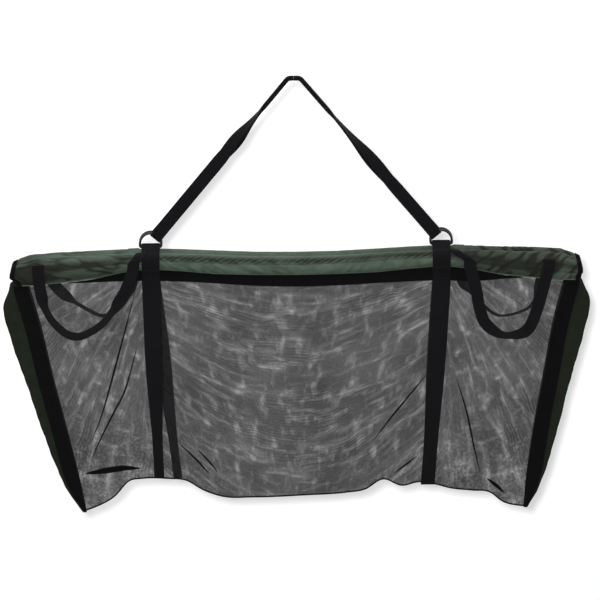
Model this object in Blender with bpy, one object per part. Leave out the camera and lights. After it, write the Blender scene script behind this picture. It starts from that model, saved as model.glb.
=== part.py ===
"""Retainer sling for weighing and keeping a fish, hung closed and empty from its two weigh straps.

X runs along the sling, -Y is the front and +Z is up. The origin is where a scale's hook bears: the
middle of the flat underside of the rear weigh strap. Sizes below are in millimetres.
"""

import math

import bmesh
import bpy
import numpy as np
from mathutils import Vector
from mathutils.bvhtree import BVHTree

MM = 0.001
LEFT, RIGHT = -1, 1
FRONT, REAR = -1, 1
SIDES = {"left": LEFT, "right": RIGHT}
HALVES = {"front": FRONT, "rear": REAR}

# Clearances
GAP = 0.3
STACK_GAP = 1.2
LOOP_SLACK = 0.3

# Sling as a whole
HALF_LENGTH = 600.0
STRAP_X = 305.0
STRAP_DROP = 350.0
BAG_DEPTH = 490.0

# Weigh straps, each a webbing whose grip is folded in half lengthwise and stitched
WEBBING = 1.8
WEIGH_WIDTH = 25.0
FOLD_STITCH = 0.4
GRIP_TAPER = 25.0
APEX_FLAT = 14.0
APEX_BEND = 12.0
WEIGH_TAIL = 85.0

# D-rings of bent wire
RING_WIRE = 5.0
RING_INSIDE = 40.0
RING_SHANK = 7.0
RING_CORNER = 3.5
BAR_Y = 10.0

# Float sleeves and what they hold
SLEEVE_Y = 24.0
SLEEVE_RADIUS = 18.0
SLEEVE_BELOW_BAR = 28.3
SLEEVE_WALL = 1.0
SLEEVE_AROUND = 14
CAP_LENGTH = 15.0
CAP_WALL = 1.2
CAP_FIT = 0.6
FLOAT_RADIUS = 11.0
FLOAT_START = 48.0
FLOAT_INSET = 70.0
POLE_RADIUS = 5.0
POLE_INSET = 40.0
FERRULE_LENGTH = 80.0
FERRULE_WALL = 1.0

# Girth straps round the bag
GIRTH_WIDTH = 38.0
GIRTH_TAIL_ANGLE = 58.0
# Where each strap ends at the bag's foot, as a share of STRAP_X
GIRTH_FOOT = {
    ("front", "left"): 0.967,
    ("front", "right"): 0.895,
    ("rear", "left"): 0.839,
    ("rear", "right"): 0.895,
}

# Bag of mesh, its bindings and end gussets
PANEL = 1.5
PANEL_COLUMNS = 24
PANEL_ROWS = 10
BELLY = 21.0
FOOT_Y = 1.6
FOLD_DEPTH = 5.0
FOLD_COUNT = 3.5
BINDING = 1.2
BINDING_DROP = 39.0
BAND_WIDTH = 32.0
MESH_UNDER_BAND = 12.0
GUSSET = 1.2
GUSSET_EDGE_Y = 1.0
BAND_BELOW_BINDING = 1.3
SIDE_ROWS = 12
CORNER_INSET = 144.0
FOOT_RISE = 72.0
HANG_DRIFT = 13.0

# Carrying handles
HANDLE_WIDTH = 25.0
TAB_TOP_ANGLES = {"outer": 57.0, "inner": 28.0}
TAB_OVERLAP = 4.0
HANDLE_BELOW_SLEEVE = 11.7
HANDLE_DROP = 150.0

# Mouth zip
ZIP_INSET = 55.0
ZIP_TAPE = 0.8
ZIP_SEAM_GAP = 0.3
ZIP_BEAD_WIDTH = 2.0
ZIP_BEAD_HEIGHT = 2.4
ZIP_WEB = 1.2
SLIDER_LENGTH = 12.0
SLIDER_WIDTH = 9.0
SLIDER_PLATE = 1.5
PULL_LENGTH = 24.0
PULL_WIDTH = 7.0
PULL_THICK = 1.6
PULL_PIN = 1.6
STOP_LENGTH = 4.0
STOP_HEIGHT = 1.6
STOP_SLACK = 1.0

# Along each leg of a weigh strap from the hook: where its folded grip ends, and where it turns to face forward
WEIGH_LEGS = {"left": (85.0, 97.5, 182.0), "right": (100.0, 120.0, 265.0)}
TWIST_STEPS = 10

# Sleeve outline from the middle to the strap seat, and from the seat to the end: share of that stretch,
# then how far crest and underside lie below those at the seat, and the narrowing, in shares of SLEEVE_RADIUS.
# The outer stretch ends where the end cap begins.
SLEEVE_MIDDLE = (
    (0.0, 0.556, 0.778, 0.0),
    (0.3, 0.5, 0.722, 0.0),
    (0.6, 0.278, 0.556, 0.0),
    (0.85, 0.083, 0.167, 0.0),
)
SLEEVE_OUTER = (
    (0.15, 0.028, 0.278, 0.0),
    (0.36, 0.139, 0.944, 0.0),
    (0.67, 0.3, 1.5, 0.0),
    (0.9, 0.5, 1.778, 0.056),
    (1.0, 0.95, 1.778, 0.111),
)
SLEEVE_END = (1.45, 1.667, 0.222)

# Bag outlines: share of the bag's depth, then how far inside the sleeve's end the line lies, as a share
# of CORNER_INSET
BAND_LINE = ((0.0, 0.257), (0.15, 0.396), (0.41, 0.576), (0.68, 0.77), (0.91, 0.91), (1.0, 0.95))
LEAF_LINE = (
    (0.0, -0.021), (0.07, -0.118), (0.22, -0.035), (0.42, 0.167), (0.635, 0.37), (0.78, 0.525),
    (0.91, 0.7), (1.0, 0.89),
)  # fmt: skip

# Bag's lower edge, drawn up where the girth straps pass: share of the half width, then height over the
# corners as a share of FOOT_RISE
FOOT_LINE = (
    (-1.0, 0.07), (-0.946, 0.2), (-0.865, 0.5), (-0.8, 0.95), (-0.742, 1.02), (-0.62, 1.01), (-0.54, 0.95),
    (-0.459, 0.643), (-0.378, 0.457), (-0.23, 0.42), (0.0, 0.465), (0.19, 0.533), (0.272, 0.616),
    (0.356, 0.92), (0.44, 0.72), (0.517, 0.82), (0.598, 0.74), (0.66, 0.63), (0.762, 0.55), (0.844, 0.48),
    (0.9, 0.2), (0.963, 0.084), (1.0, 0.055),
)  # fmt: skip

# Routes of the hanging handles from the outer sewn end to the inner: share of the way from the girth strap
# to the sleeve's end, then how far below the hinge line as a share of HANDLE_DROP
HANDLE_ROUTES = {
    ("front", "left"): (
        (0.8, 0.0), (0.789, 0.25), (0.759, 0.515), (0.718, 0.69), (0.655, 0.835), (0.588, 0.93), (0.515, 0.95),
        (0.435, 0.888), (0.35, 0.775), (0.29, 0.635), (0.235, 0.48), (0.175, 0.28), (0.122, 0.0),
    ),
    ("front", "right"): (
        (0.7627, 0.0), (0.6814, 0.6), (0.6102, 0.92), (0.5085, 1.0), (0.4068, 0.98), (0.3085, 0.827),
        (0.266, 0.6), (0.245, 0.36), (0.22, 0.15), (0.2, 0.0),
    ),
    ("rear", "left"): (
        (0.7559, 0.0), (0.749, 0.12), (0.718, 0.27), (0.665, 0.405), (0.6, 0.52), (0.535, 0.61), (0.405, 0.757),
        (0.35, 0.785), (0.295, 0.757), (0.24, 0.68), (0.19, 0.555), (0.15, 0.36), (0.1254, 0.0),
    ),
    ("rear", "right"): (
        (0.7424, 0.0), (0.728, 0.25), (0.7, 0.5), (0.645, 0.71), (0.578, 0.79), (0.515, 0.83), (0.455, 0.85),
        (0.4, 0.84), (0.3356, 0.755), (0.265, 0.62), (0.2, 0.475), (0.155, 0.32), (0.1254, 0.0),
    ),
}  # fmt: skip

# How each handle hangs round its lowest point: degrees between its face and the plane of the loop's edge
# there, then up to where it stays so and from where it faces forward, as shares of HANDLE_DROP
HANDLE_TURNS = {
    ("front", "left"): (28.0, 0.6, 0.85),
    ("front", "right"): (22.0, 0.0, 0.413),
    ("rear", "left"): (28.0, 0.42, 0.68),
    ("rear", "right"): (10.0, 0.55, 0.78),
}


def eased(line, position):
    """Value at a position of a smooth curve through (position, value) points."""
    spots = [point[0] for point in line]
    values = [point[1] for point in line]
    slopes = np.gradient(values, spots)
    position = min(max(position, spots[0]), spots[-1])
    right = min(max(int(np.searchsorted(spots, position)), 1), len(spots) - 1)
    left = right - 1
    span = spots[right] - spots[left]
    share = (position - spots[left]) / span
    return float(
        (2 * share**3 - 3 * share**2 + 1) * values[left]
        + (share**3 - 2 * share**2 + share) * span * slopes[left]
        + (3 * share**2 - 2 * share**3) * values[right]
        + (share**3 - share**2) * span * slopes[right]
    )


def smoothstep(start, end, value):
    """0 before start, 1 after end, and a smooth rise between them."""
    share = min(max((value - start) / (end - start), 0.0), 1.0)
    return share * share * (3 - 2 * share)


def material(name, colour, roughness, metallic=0.0):
    """Principled material of a plain colour, in linear values."""
    made = bpy.data.materials.new(name)
    made.use_nodes = True
    shader = made.node_tree.nodes["Principled BSDF"]
    shader.inputs["Base Color"].default_value = (*colour, 1.0)
    shader.inputs["Roughness"].default_value = roughness
    shader.inputs["Metallic"].default_value = metallic
    return made


COLOURS = {
    "webbing": ((0.012, 0.012, 0.014), 0.75, 0.0),
    "enamelled_wire": ((0.015, 0.015, 0.016), 0.35, 0.6),
    "sleeve_cloth": ((0.035, 0.055, 0.035), 0.7, 0.0),
    "gusset_cloth": ((0.02, 0.032, 0.02), 0.75, 0.0),
    "mesh_cloth": ((0.05, 0.05, 0.052), 0.8, 0.0),
    "binding": ((0.01, 0.01, 0.012), 0.8, 0.0),
    "foam": ((0.25, 0.25, 0.26), 0.9, 0.0),
    "pole": ((0.05, 0.05, 0.055), 0.4, 0.0),
    "ferrule": ((0.55, 0.55, 0.56), 0.3, 1.0),
    "end_cap": ((0.02, 0.02, 0.02), 0.6, 0.0),
    "zip": ((0.012, 0.012, 0.012), 0.5, 0.0),
    "zip_metal": ((0.05, 0.05, 0.05), 0.35, 0.8),
}


def add_object(name, data, finish, parent=None):
    """Object at the origin with its own material, kept under its parent without moving."""
    made = bpy.data.objects.new(name, data)
    bpy.context.scene.collection.objects.link(made)
    colour, roughness, metallic = COLOURS[finish]
    data.materials.append(material(f"{name}_{finish}", colour, roughness, metallic))
    if parent is not None:
        made.parent = parent
        made.matrix_parent_inverse = parent.matrix_world.inverted()
    return made


def finish_mesh(name, bm, finish, parent, smooth_angle=40.0):
    """Turn a bmesh in millimetres into an object, with its faces pointing out."""
    bmesh.ops.recalc_face_normals(bm, faces=bm.faces)
    bmesh.ops.scale(bm, vec=(MM, MM, MM), verts=bm.verts)
    mesh = bpy.data.meshes.new(name)
    bm.to_mesh(mesh)
    bm.free()
    mesh.shade_smooth()
    mesh.set_sharp_from_angle(angle=math.radians(smooth_angle))
    return add_object(name, mesh, finish, parent)


def loft(name, sections, finish, parent, smooth_angle=40.0):
    """Closed body through a row of sections, each the same number of points round its edge.

    The first half of the points runs along one broad face and the second half comes back along the
    other. Both are cut along the same diagonal, so that a thin webbing stays even where it twists.
    """
    bm = bmesh.new()
    rings = [[bm.verts.new(point) for point in section] for section in sections]
    count = len(sections[0])
    for near, far in zip(rings, rings[1:]):
        for i in range(count):
            j = (i + 1) % count
            if 2 * i < count:
                bm.faces.new((near[i], near[j], far[j]))
                bm.faces.new((near[i], far[j], far[i]))
            else:
                bm.faces.new((near[i], near[j], far[i]))
                bm.faces.new((near[j], far[j], far[i]))
    bm.faces.new(rings[0])
    bm.faces.new(rings[-1])
    return finish_mesh(name, bm, finish, parent, smooth_angle)


def add_solidify(obj, thickness, offset):
    """Give a surface its thickness; an offset of 0 lays it on both sides alike."""
    modifier = obj.modifiers.new("Thickness", "SOLIDIFY")
    modifier.thickness = thickness * MM
    modifier.offset = offset
    modifier.use_even_offset = True


def grid_triangles(grid):
    """Corner numbers of two triangles for each cell of a grid of points."""
    count = len(grid[0])
    triangles = []
    for row in range(len(grid) - 1):
        for column in range(count - 1):
            upper = row * count + column
            lower = upper + count
            triangles.append((upper, lower, lower + 1))
            triangles.append((upper, lower + 1, upper + 1))
    return triangles


def sheet(name, grid, thickness, finish, parent, offset=0.0):
    """Cloth of even thickness over a grid of points, as rows of equal length."""
    bm = bmesh.new()
    verts = [bm.verts.new(point) for row in grid for point in row]
    for corners in grid_triangles(grid):
        bm.faces.new([verts[i] for i in corners])
    made = finish_mesh(name, bm, finish, parent)
    add_solidify(made, thickness, offset)
    return made


def turned(name, profile, start, axis_y, axis_z, finish, parent, around=12):
    """Body turned about a line along X through closed (x, radius) points."""
    bm = bmesh.new()
    loop = [bm.verts.new((start + x, axis_y, axis_z + radius)) for x, radius in profile]
    edges = [bm.edges.new((loop[i - 1], loop[i])) for i in range(len(loop))]
    bmesh.ops.spin(
        bm,
        geom=edges + loop,
        cent=(start, axis_y, axis_z),
        axis=(1, 0, 0),
        angle=2 * math.pi,
        steps=around,
        use_merge=True,
    )
    return finish_mesh(name, bm, finish, parent)


def pivot(name, place, parent=None):
    """Empty on a joint's axis, which carries the pieces that turn with it."""
    made = bpy.data.objects.new(name, None)
    bpy.context.scene.collection.objects.link(made)
    made.empty_display_size = 0.03
    made.location = Vector(place) * MM
    if parent is not None:
        made.parent = parent
        made.matrix_parent_inverse = parent.matrix_world.inverted()
    bpy.context.view_layer.update()
    return made


# Heights worked out from the driving sizes
BAR_Z = -STRAP_DROP
ARC_Z = BAR_Z + RING_SHANK
RING_ARC = (RING_INSIDE + RING_WIRE) / 2
SLEEVE_Z = BAR_Z - SLEEVE_BELOW_BAR
SEAT_HALF = GIRTH_WIDTH / 2 + 3
BAG_TOP_Z = SLEEVE_Z - SLEEVE_RADIUS - BINDING_DROP
CORNER_Z = BAG_TOP_Z - BAG_DEPTH
HANDLE_Z = SLEEVE_Z - HANDLE_BELOW_SLEEVE
TAB_Q = SLEEVE_Y + SLEEVE_RADIUS + GAP + WEBBING / 2
HANDLE_Q = TAB_Q + WEBBING + GAP
ZIP_Z = SLEEVE_Z
ZIP_HALF = HALF_LENGTH - ZIP_INSET


def sleeve_outline():
    """Stations of half a sleeve: place along it, then how far crest, underside and depth fall short."""
    seat_in = STRAP_X - SEAT_HALF
    seat_out = STRAP_X + SEAT_HALF
    cap_start = HALF_LENGTH - CAP_LENGTH
    level = (0.0, 0.0, 0.0)
    stations = [(share * seat_in, *drops) for share, *drops in SLEEVE_MIDDLE]
    stations += [(seat_in, *level), (seat_out, *level)]
    stations += [(seat_out + share * (cap_start - seat_out), *drops) for share, *drops in SLEEVE_OUTER]
    stations.append((HALF_LENGTH, *SLEEVE_END))
    return [(x, *(SLEEVE_RADIUS * drop for drop in drops)) for x, *drops in stations]


def sleeve_shape(x):
    """Crest height, underside height and half depth of a sleeve at a place along it."""
    stations = sleeve_outline()
    spots = [station[0] for station in stations]
    crest, under, narrow = (
        float(np.interp(abs(x), spots, [station[i] for station in stations])) for i in (1, 2, 3)
    )
    return SLEEVE_Z + SLEEVE_RADIUS - crest, SLEEVE_Z - SLEEVE_RADIUS - under, SLEEVE_RADIUS - narrow


def sleeve_stations():
    """Places along the sleeve where its outline changes, from end to end."""
    half = [station[0] for station in sleeve_outline()]
    return [-x for x in reversed(half[1:])] + half


def sleeve_point(half, x, angle, lift=0.0):
    """Point at an angle from the crest towards the outside, lifted off the sleeve's surface."""
    crest, under, depth = sleeve_shape(x)
    height = (crest - under) / 2
    turn = math.radians(angle)
    normal = Vector((math.sin(turn) / depth, math.cos(turn) / height)).normalized()
    out = SLEEVE_Y + depth * math.sin(turn) + lift * normal[0]
    up = (crest + under) / 2 + height * math.cos(turn) + lift * normal[1]
    return (x, half * out, up)


def sleeve_ring(half, x, lift=0.0):
    """Section of the sleeve at a place along it."""
    return [sleeve_point(half, x, 360 * i / SLEEVE_AROUND, lift) for i in range(SLEEVE_AROUND)]


def build_sleeve(name, half, parent):
    """Tube of cloth, open at both ends under its end caps."""
    bm = bmesh.new()
    rings = [[bm.verts.new(point) for point in sleeve_ring(half, x)] for x in sleeve_stations()]
    for near, far in zip(rings, rings[1:]):
        for i in range(SLEEVE_AROUND):
            j = (i + 1) % SLEEVE_AROUND
            corners = (near[i], near[j], far[j], far[i])
            bm.faces.new(corners if half == FRONT else corners[::-1])
    bmesh.ops.scale(bm, vec=(MM, MM, MM), verts=bm.verts)
    mesh = bpy.data.meshes.new(name)
    bm.to_mesh(mesh)
    bm.free()
    mesh.shade_smooth()
    made = add_object(name, mesh, "sleeve_cloth", parent)
    add_solidify(made, SLEEVE_WALL, -1.0)
    return made


def sleeve_tree(half):
    """Search tree of the sleeve's outer surface, in millimetres."""
    rings = [sleeve_ring(half, x) for x in sleeve_stations()]
    points = [Vector(point) for ring in rings for point in ring]
    faces = []
    for k in range(len(rings) - 1):
        for i in range(SLEEVE_AROUND):
            j = (i + 1) % SLEEVE_AROUND
            base, next_base = k * SLEEVE_AROUND, (k + 1) * SLEEVE_AROUND
            faces.append((base + i, base + j, next_base + j, next_base + i))
    return BVHTree.FromPolygons(points, faces)


def build_sleeve_cap(name, half, side, parent):
    """Bound end of a sleeve: a rim over its last stretch, closed by an end wall."""
    start = side * (HALF_LENGTH - CAP_LENGTH)
    end = side * HALF_LENGTH
    wall_in = side * (HALF_LENGTH + GAP)
    wall_out = wall_in + side * CAP_WALL
    inner = [sleeve_ring(half, start, CAP_FIT), sleeve_ring(half, end, CAP_FIT)]
    inner.append([(wall_in, y, z) for _, y, z in inner[-1]])
    outer_lift = CAP_FIT + CAP_WALL
    outer = [sleeve_ring(half, start, outer_lift), sleeve_ring(half, end, outer_lift)]
    outer.append([(wall_out, y, z) for _, y, z in sleeve_ring(half, end, CAP_FIT)])
    bm = bmesh.new()
    rings = [[bm.verts.new(point) for point in ring] for ring in inner[::-1] + outer]
    for near, far in zip(rings, rings[1:]):
        for i in range(SLEEVE_AROUND):
            j = (i + 1) % SLEEVE_AROUND
            bm.faces.new((near[i], near[j], far[j], far[i]))
    bm.faces.new(rings[0])
    bm.faces.new(rings[-1])
    return finish_mesh(name, bm, "binding", parent)


def build_sleeve_filling(label, half, parent):
    """Two-piece pole with its ferrule, and the foam floats that ride on it."""
    rest_on = SLEEVE_RADIUS * math.cos(math.pi / SLEEVE_AROUND) - SLEEVE_WALL - GAP
    axis_y = half * SLEEVE_Y
    axis_z = SLEEVE_Z - (rest_on - FLOAT_RADIUS)
    bore = POLE_RADIUS + GAP
    pole_end = HALF_LENGTH - POLE_INSET
    ferrule_outer = bore + FERRULE_WALL
    ferrule_profile = [(0, bore), (FERRULE_LENGTH, bore), (FERRULE_LENGTH, ferrule_outer), (0, ferrule_outer)]
    turned(f"{label}_pole_ferrule", ferrule_profile, -FERRULE_LENGTH / 2, axis_y, axis_z, "ferrule", parent)
    for side_name, side in SIDES.items():
        float_length = HALF_LENGTH - FLOAT_INSET - FLOAT_START
        profile = [(0, bore), (float_length, bore), (float_length, FLOAT_RADIUS), (0, FLOAT_RADIUS)]
        start = FLOAT_START if side == RIGHT else -FLOAT_START - float_length
        turned(f"{label}_float_{side_name}", profile, start, axis_y, axis_z, "foam", parent, around=14)
        build_pole(f"{label}_pole_{side_name}", side, pole_end, axis_y, axis_z, parent)


def build_pole(name, side, pole_end, axis_y, axis_z, parent):
    """One rod of a two-piece pole, from the ferrule's middle to its end."""
    bm = bmesh.new()
    length = pole_end - GAP
    bmesh.ops.create_cone(
        bm, cap_ends=True, segments=12, radius1=POLE_RADIUS, radius2=POLE_RADIUS, depth=length
    )
    along_x = Vector((0, 0, 1)).rotation_difference((1, 0, 0)).to_matrix()
    bmesh.ops.rotate(bm, verts=bm.verts, cent=(0, 0, 0), matrix=along_x)
    bmesh.ops.translate(bm, verts=bm.verts, vec=(side * (GAP + length / 2), axis_y, axis_z))
    return finish_mesh(name, bm, "pole", parent)


def ring_outline():
    """Centre line of a D-ring's wire, from the middle of its bar, as (x, height over the bar)."""
    corner_x = RING_ARC - RING_CORNER
    points = []
    for turn in (-90, -45, 0):
        angle = math.radians(turn)
        points.append((corner_x + RING_CORNER * math.cos(angle), RING_CORNER + RING_CORNER * math.sin(angle)))
    for step in range(13):
        angle = math.pi * step / 12
        points.append((RING_ARC * math.cos(angle), RING_SHANK + RING_ARC * math.sin(angle)))
    for turn in (180, 225, 270):
        angle = math.radians(turn)
        points.append((-corner_x + RING_CORNER * math.cos(angle), RING_CORNER + RING_CORNER * math.sin(angle)))
    return points


def build_ring(name, side, half, parent):
    """D-ring of round wire, standing on its bar."""
    curve = bpy.data.curves.new(name, "CURVE")
    curve.dimensions = "3D"
    curve.bevel_depth = RING_WIRE / 2 * MM
    curve.bevel_resolution = 2
    outline = ring_outline()
    spline = curve.splines.new("POLY")
    spline.points.add(len(outline) - 1)
    for point, (x, height) in zip(spline.points, outline):
        place = Vector((side * STRAP_X + x, half * BAR_Y, BAR_Z + height)) * MM
        point.co = (*place, 1.0)
    spline.use_cyclic_u = True
    return add_object(name, curve, "enamelled_wire", parent)


def webbing_section(centre, across, normal, width, thickness):
    """Six corners of a webbing's section, whose two edges come to a blunt point."""
    centre, across, normal = Vector(centre), Vector(across), Vector(normal)
    edge = across * (width / 2)
    shoulder = across * (width / 2 - thickness * 0.4)
    face = normal * (thickness / 2)
    under = [centre - edge, centre - shoulder - face, centre + shoulder - face]
    return [*under, centre + edge, centre + shoulder + face, centre - shoulder + face]


def weigh_leg_line():
    """Slope of a weigh strap's leg, and where its bend over the hook ends, seen from the front."""
    stack = (2 * WEBBING + FOLD_STITCH) / 2
    offset = stack + STACK_GAP / 2
    crown_z = offset + stack
    centre = Vector((APEX_FLAT / 2, crown_z - APEX_BEND))
    reach = Vector((STRAP_X, ARC_Z)) - centre
    slope = math.atan2(-reach[1], reach[0]) + math.asin(APEX_BEND / reach.length)
    return slope, centre, offset, crown_z


def weigh_sections(half, side_name):
    """Sections of one leg of a weigh strap, drawn to the right, from its crown over the hook to its sewn tail."""
    grip_end, twist_start, twist_end = WEIGH_LEGS[side_name]
    slope, bend_centre, stack_offset, crown_z = weigh_leg_line()
    grip_thick = 2 * WEBBING + FOLD_STITCH
    grip_width = WEIGH_WIDTH / 2
    layer = (WEBBING + GAP) / 2
    ring_point = Vector((STRAP_X, 0.0, ARC_Z))
    down = Vector((math.cos(slope), 0.0, -math.sin(slope)))
    upward = Vector((math.sin(slope), 0.0, math.cos(slope)))
    bend_end = Vector(
        (
            bend_centre[0] + APEX_BEND * math.sin(slope),
            0.0,
            bend_centre[1] + APEX_BEND * math.cos(slope),
        )
    )
    leg = (ring_point - bend_end).length
    sections = []

    def place(point, tangent, up, travelled):
        turn = smoothstep(twist_start, twist_end, travelled)
        angle = turn * math.pi / 2
        normal = math.cos(angle) * up + math.sin(angle) * Vector((0.0, -1.0, 0.0))
        opened = smoothstep(grip_end, grip_end + GRIP_TAPER, travelled)
        width = grip_width + opened * (WEIGH_WIDTH - grip_width)
        thick = grip_thick + opened * (WEBBING - grip_thick)
        offset = stack_offset + turn * (BAR_Y + layer - stack_offset)
        centre = point - half * offset * normal
        sections.append(webbing_section(centre, normal.cross(tangent), normal, width, thick))

    for x in (0.0, APEX_FLAT / 2):
        place(Vector((x, 0.0, crown_z)), Vector((1, 0, 0)), Vector((0, 0, 1)), x)
    bend_steps = 5
    for step in range(1, bend_steps + 1):
        angle = slope * step / bend_steps
        out, rise = APEX_BEND * math.sin(angle), APEX_BEND * math.cos(angle)
        point = Vector((bend_centre[0] + out, 0, bend_centre[1] + rise))
        tangent = Vector((math.cos(angle), 0, -math.sin(angle)))
        up = Vector((math.sin(angle), 0, math.cos(angle)))
        place(point, tangent, up, APEX_FLAT / 2 + APEX_BEND * angle)
    bend_travel = APEX_FLAT / 2 + APEX_BEND * slope
    marks = {grip_end / 2, grip_end, grip_end + GRIP_TAPER / 2, grip_end + GRIP_TAPER}
    marks |= {twist_start + (twist_end - twist_start) * step / TWIST_STEPS for step in range(TWIST_STEPS + 1)}
    for mark in sorted(marks):
        if mark - bend_travel < leg - WEIGH_TAIL:
            place(bend_end + down * (mark - bend_travel), down, upward, mark)
    place(ring_point - down * WEIGH_TAIL, down, upward, leg + bend_travel)
    sections += weigh_loop(half, ring_point, down)
    return sections


def weigh_loop(half, ring_point, down):
    """Sections of the loop round the D-ring's bow and of the tail sewn back on the strap."""
    layer = (WEBBING + GAP) / 2
    slack = GAP + LOOP_SLACK
    radius = RING_WIRE / 2 + slack + WEBBING / 2
    half_width = WEIGH_WIDTH / 2
    chord = math.sqrt(RING_ARC**2 - half_width**2)
    slant = RING_WIRE / 2 * RING_ARC / chord
    turn_at = chord - slant - GAP + RING_WIRE / 2 + GAP
    spread_at = RING_ARC + RING_WIRE / 2 + GAP
    close_at = spread_at + 22
    outside = Vector((0.0, -1.0, 0.0))
    across = outside.cross(down)
    sections = []

    def place(reach, out, angle):
        centre = ring_point - down * reach - half * out * outside
        normal = math.cos(angle) * outside - half * math.sin(angle) * down
        sections.append(webbing_section(centre, across, normal, WEIGH_WIDTH, WEBBING))

    place(close_at, BAR_Y + layer, 0.0)
    place(spread_at, BAR_Y + radius, 0.0)
    steps = 8
    for step in range(steps + 1):
        angle = math.pi * step / steps
        place(turn_at - radius * math.sin(angle), BAR_Y + radius * math.cos(angle), angle)
    place(spread_at, BAR_Y - radius, math.pi)
    place(close_at, BAR_Y - layer, math.pi)
    place(WEIGH_TAIL, BAR_Y - layer, math.pi)
    return sections


def build_weigh_strap(name, half, parent):
    """Whole strap: both legs mirrored about the hook."""
    right, leg = weigh_sections(half, "right"), weigh_sections(half, "left")
    left = [[Vector((-point[0], point[1], point[2])) for point in section] for section in reversed(leg[1:])]
    return loft(name, left + right, "webbing", parent, smooth_angle=60.0)


def girth_profile():
    """Side view of a girth strap from its sewn tail, round the D-ring's bar and down past the sleeve.

    Each point is how far it lies out from the middle of the sling, and its height.
    """
    sleeve = Vector((SLEEVE_Y, SLEEVE_Z))
    bar = Vector((BAR_Y, BAR_Z))
    loop = RING_WIRE / 2 + GAP + WEBBING / 2
    tail = SLEEVE_RADIUS + GAP + WEBBING / 2
    main = tail + WEBBING + GAP
    reach = (bar - sleeve).length
    towards = math.atan2(bar[0] - sleeve[0], bar[1] - sleeve[1])
    tail_touch = towards + math.acos((tail + loop) / reach)
    main_touch = towards + math.acos((main - loop) / reach)

    def around(centre, radius, start, end, steps):
        padded = radius / math.cos((end - start) / steps / 2)
        angles = np.linspace(start, end, steps + 1)
        return [
            (
                centre[0] + (padded if 0 < i < steps else radius) * math.sin(angle),
                centre[1] + (padded if 0 < i < steps else radius) * math.cos(angle),
            )
            for i, angle in enumerate(angles)
        ]

    points = around(sleeve, tail, math.radians(GIRTH_TAIL_ANGLE), tail_touch, 3)
    points += around(bar, loop, tail_touch + math.pi, main_touch + 2 * math.pi, 9)
    points += around(sleeve, main, main_touch, math.radians(GIRTH_TAIL_ANGLE + 14), 3)
    points += around(sleeve, tail, math.radians(GIRTH_TAIL_ANGLE + 34), math.radians(150), 4)
    skim = SLEEVE_Y + BINDING / 2 + GAP + WEBBING / 2
    under = SLEEVE_Z - SLEEVE_RADIUS
    points += [(skim + 1.2, under - 6), (skim, under - 11), (skim, BAG_TOP_Z + 1)]
    return points


def bag_edge_x(side, line, depth):
    """X of a side outline of the bag at a share of its depth; the empty bag drifts a little to the right."""
    return side * (HALF_LENGTH - CORNER_INSET * eased(line, depth)) + HANG_DRIFT * depth**2


def mesh_under(side, depth):
    """How far the mesh reaches under its side band, less where the gusset runs out at the corner."""
    inner = bag_edge_x(side, BAND_LINE, depth)
    outer = bag_edge_x(side, LEAF_LINE, depth)
    return min(MESH_UNDER_BAND, 0.3 * abs(outer - inner))


def foot_z(share):
    """Height of the bag's lower edge at a share of its half width."""
    return CORNER_Z + FOOT_RISE * eased(FOOT_LINE, share)


def panel_grid(half):
    """Rows of points over one mesh panel, from under its binding down to the bag's lower edge."""
    plain_q = SLEEVE_Y - BINDING / 2 - GAP - PANEL / 2
    phase = 0.0 if half == FRONT else 1.7
    rows = []
    for row in range(-1, PANEL_ROWS + 1):
        depth = max(row, 0) / PANEL_ROWS
        edges = [bag_edge_x(side, BAND_LINE, depth) + side * mesh_under(side, depth) for side in (LEFT, RIGHT)]
        line = []
        for column in range(PANEL_COLUMNS + 1):
            share = 2 * column / PANEL_COLUMNS - 1
            x = edges[0] + (edges[1] - edges[0]) * (share + 1) / 2
            if row < 0:
                line.append((x, half * plain_q, sleeve_shape(x)[1] - GAP - 1.0))
                continue
            taut = 1 - abs(share) ** 6
            swell = math.sin(math.pi * depth)
            fold = 0.5 + 0.5 * math.sin(math.pi * FOLD_COUNT * share + 2.6 * depth + phase)
            out = FOOT_Y + (plain_q - FOOT_Y) * (1 - depth) + swell * taut * (BELLY + FOLD_DEPTH * fold)
            line.append((x, half * out, BAG_TOP_Z + depth * (foot_z(share) - BAG_TOP_Z)))
        rows.append(line)
    return rows


def grid_tree(grid):
    """Search tree of a grid of points, in millimetres."""
    points = [Vector(point) for row in grid for point in row]
    return BVHTree.FromPolygons(points, grid_triangles(grid))


def reach_out(tree, half, x, z):
    """How far out a surface lies from the middle of the sling at a place, or None beside it."""
    far = 200.0
    hit = tree.ray_cast(Vector((x, half * far, z)), Vector((0, -half, 0)))[0]
    return None if hit is None else half * hit[1]


def laid_out(tree, half, x, z, half_width, half_height, fallback):
    """Furthest that a surface reaches under a flat strip at a height."""
    found = [
        reach_out(tree, half, x + dx, z + dz)
        for dx in (-half_width, -half_width / 2, 0, half_width / 2, half_width)
        for dz in (-half_height, 0, half_height)
    ]
    found = [value for value in found if value is not None]
    return max(found) if found else fallback


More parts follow.
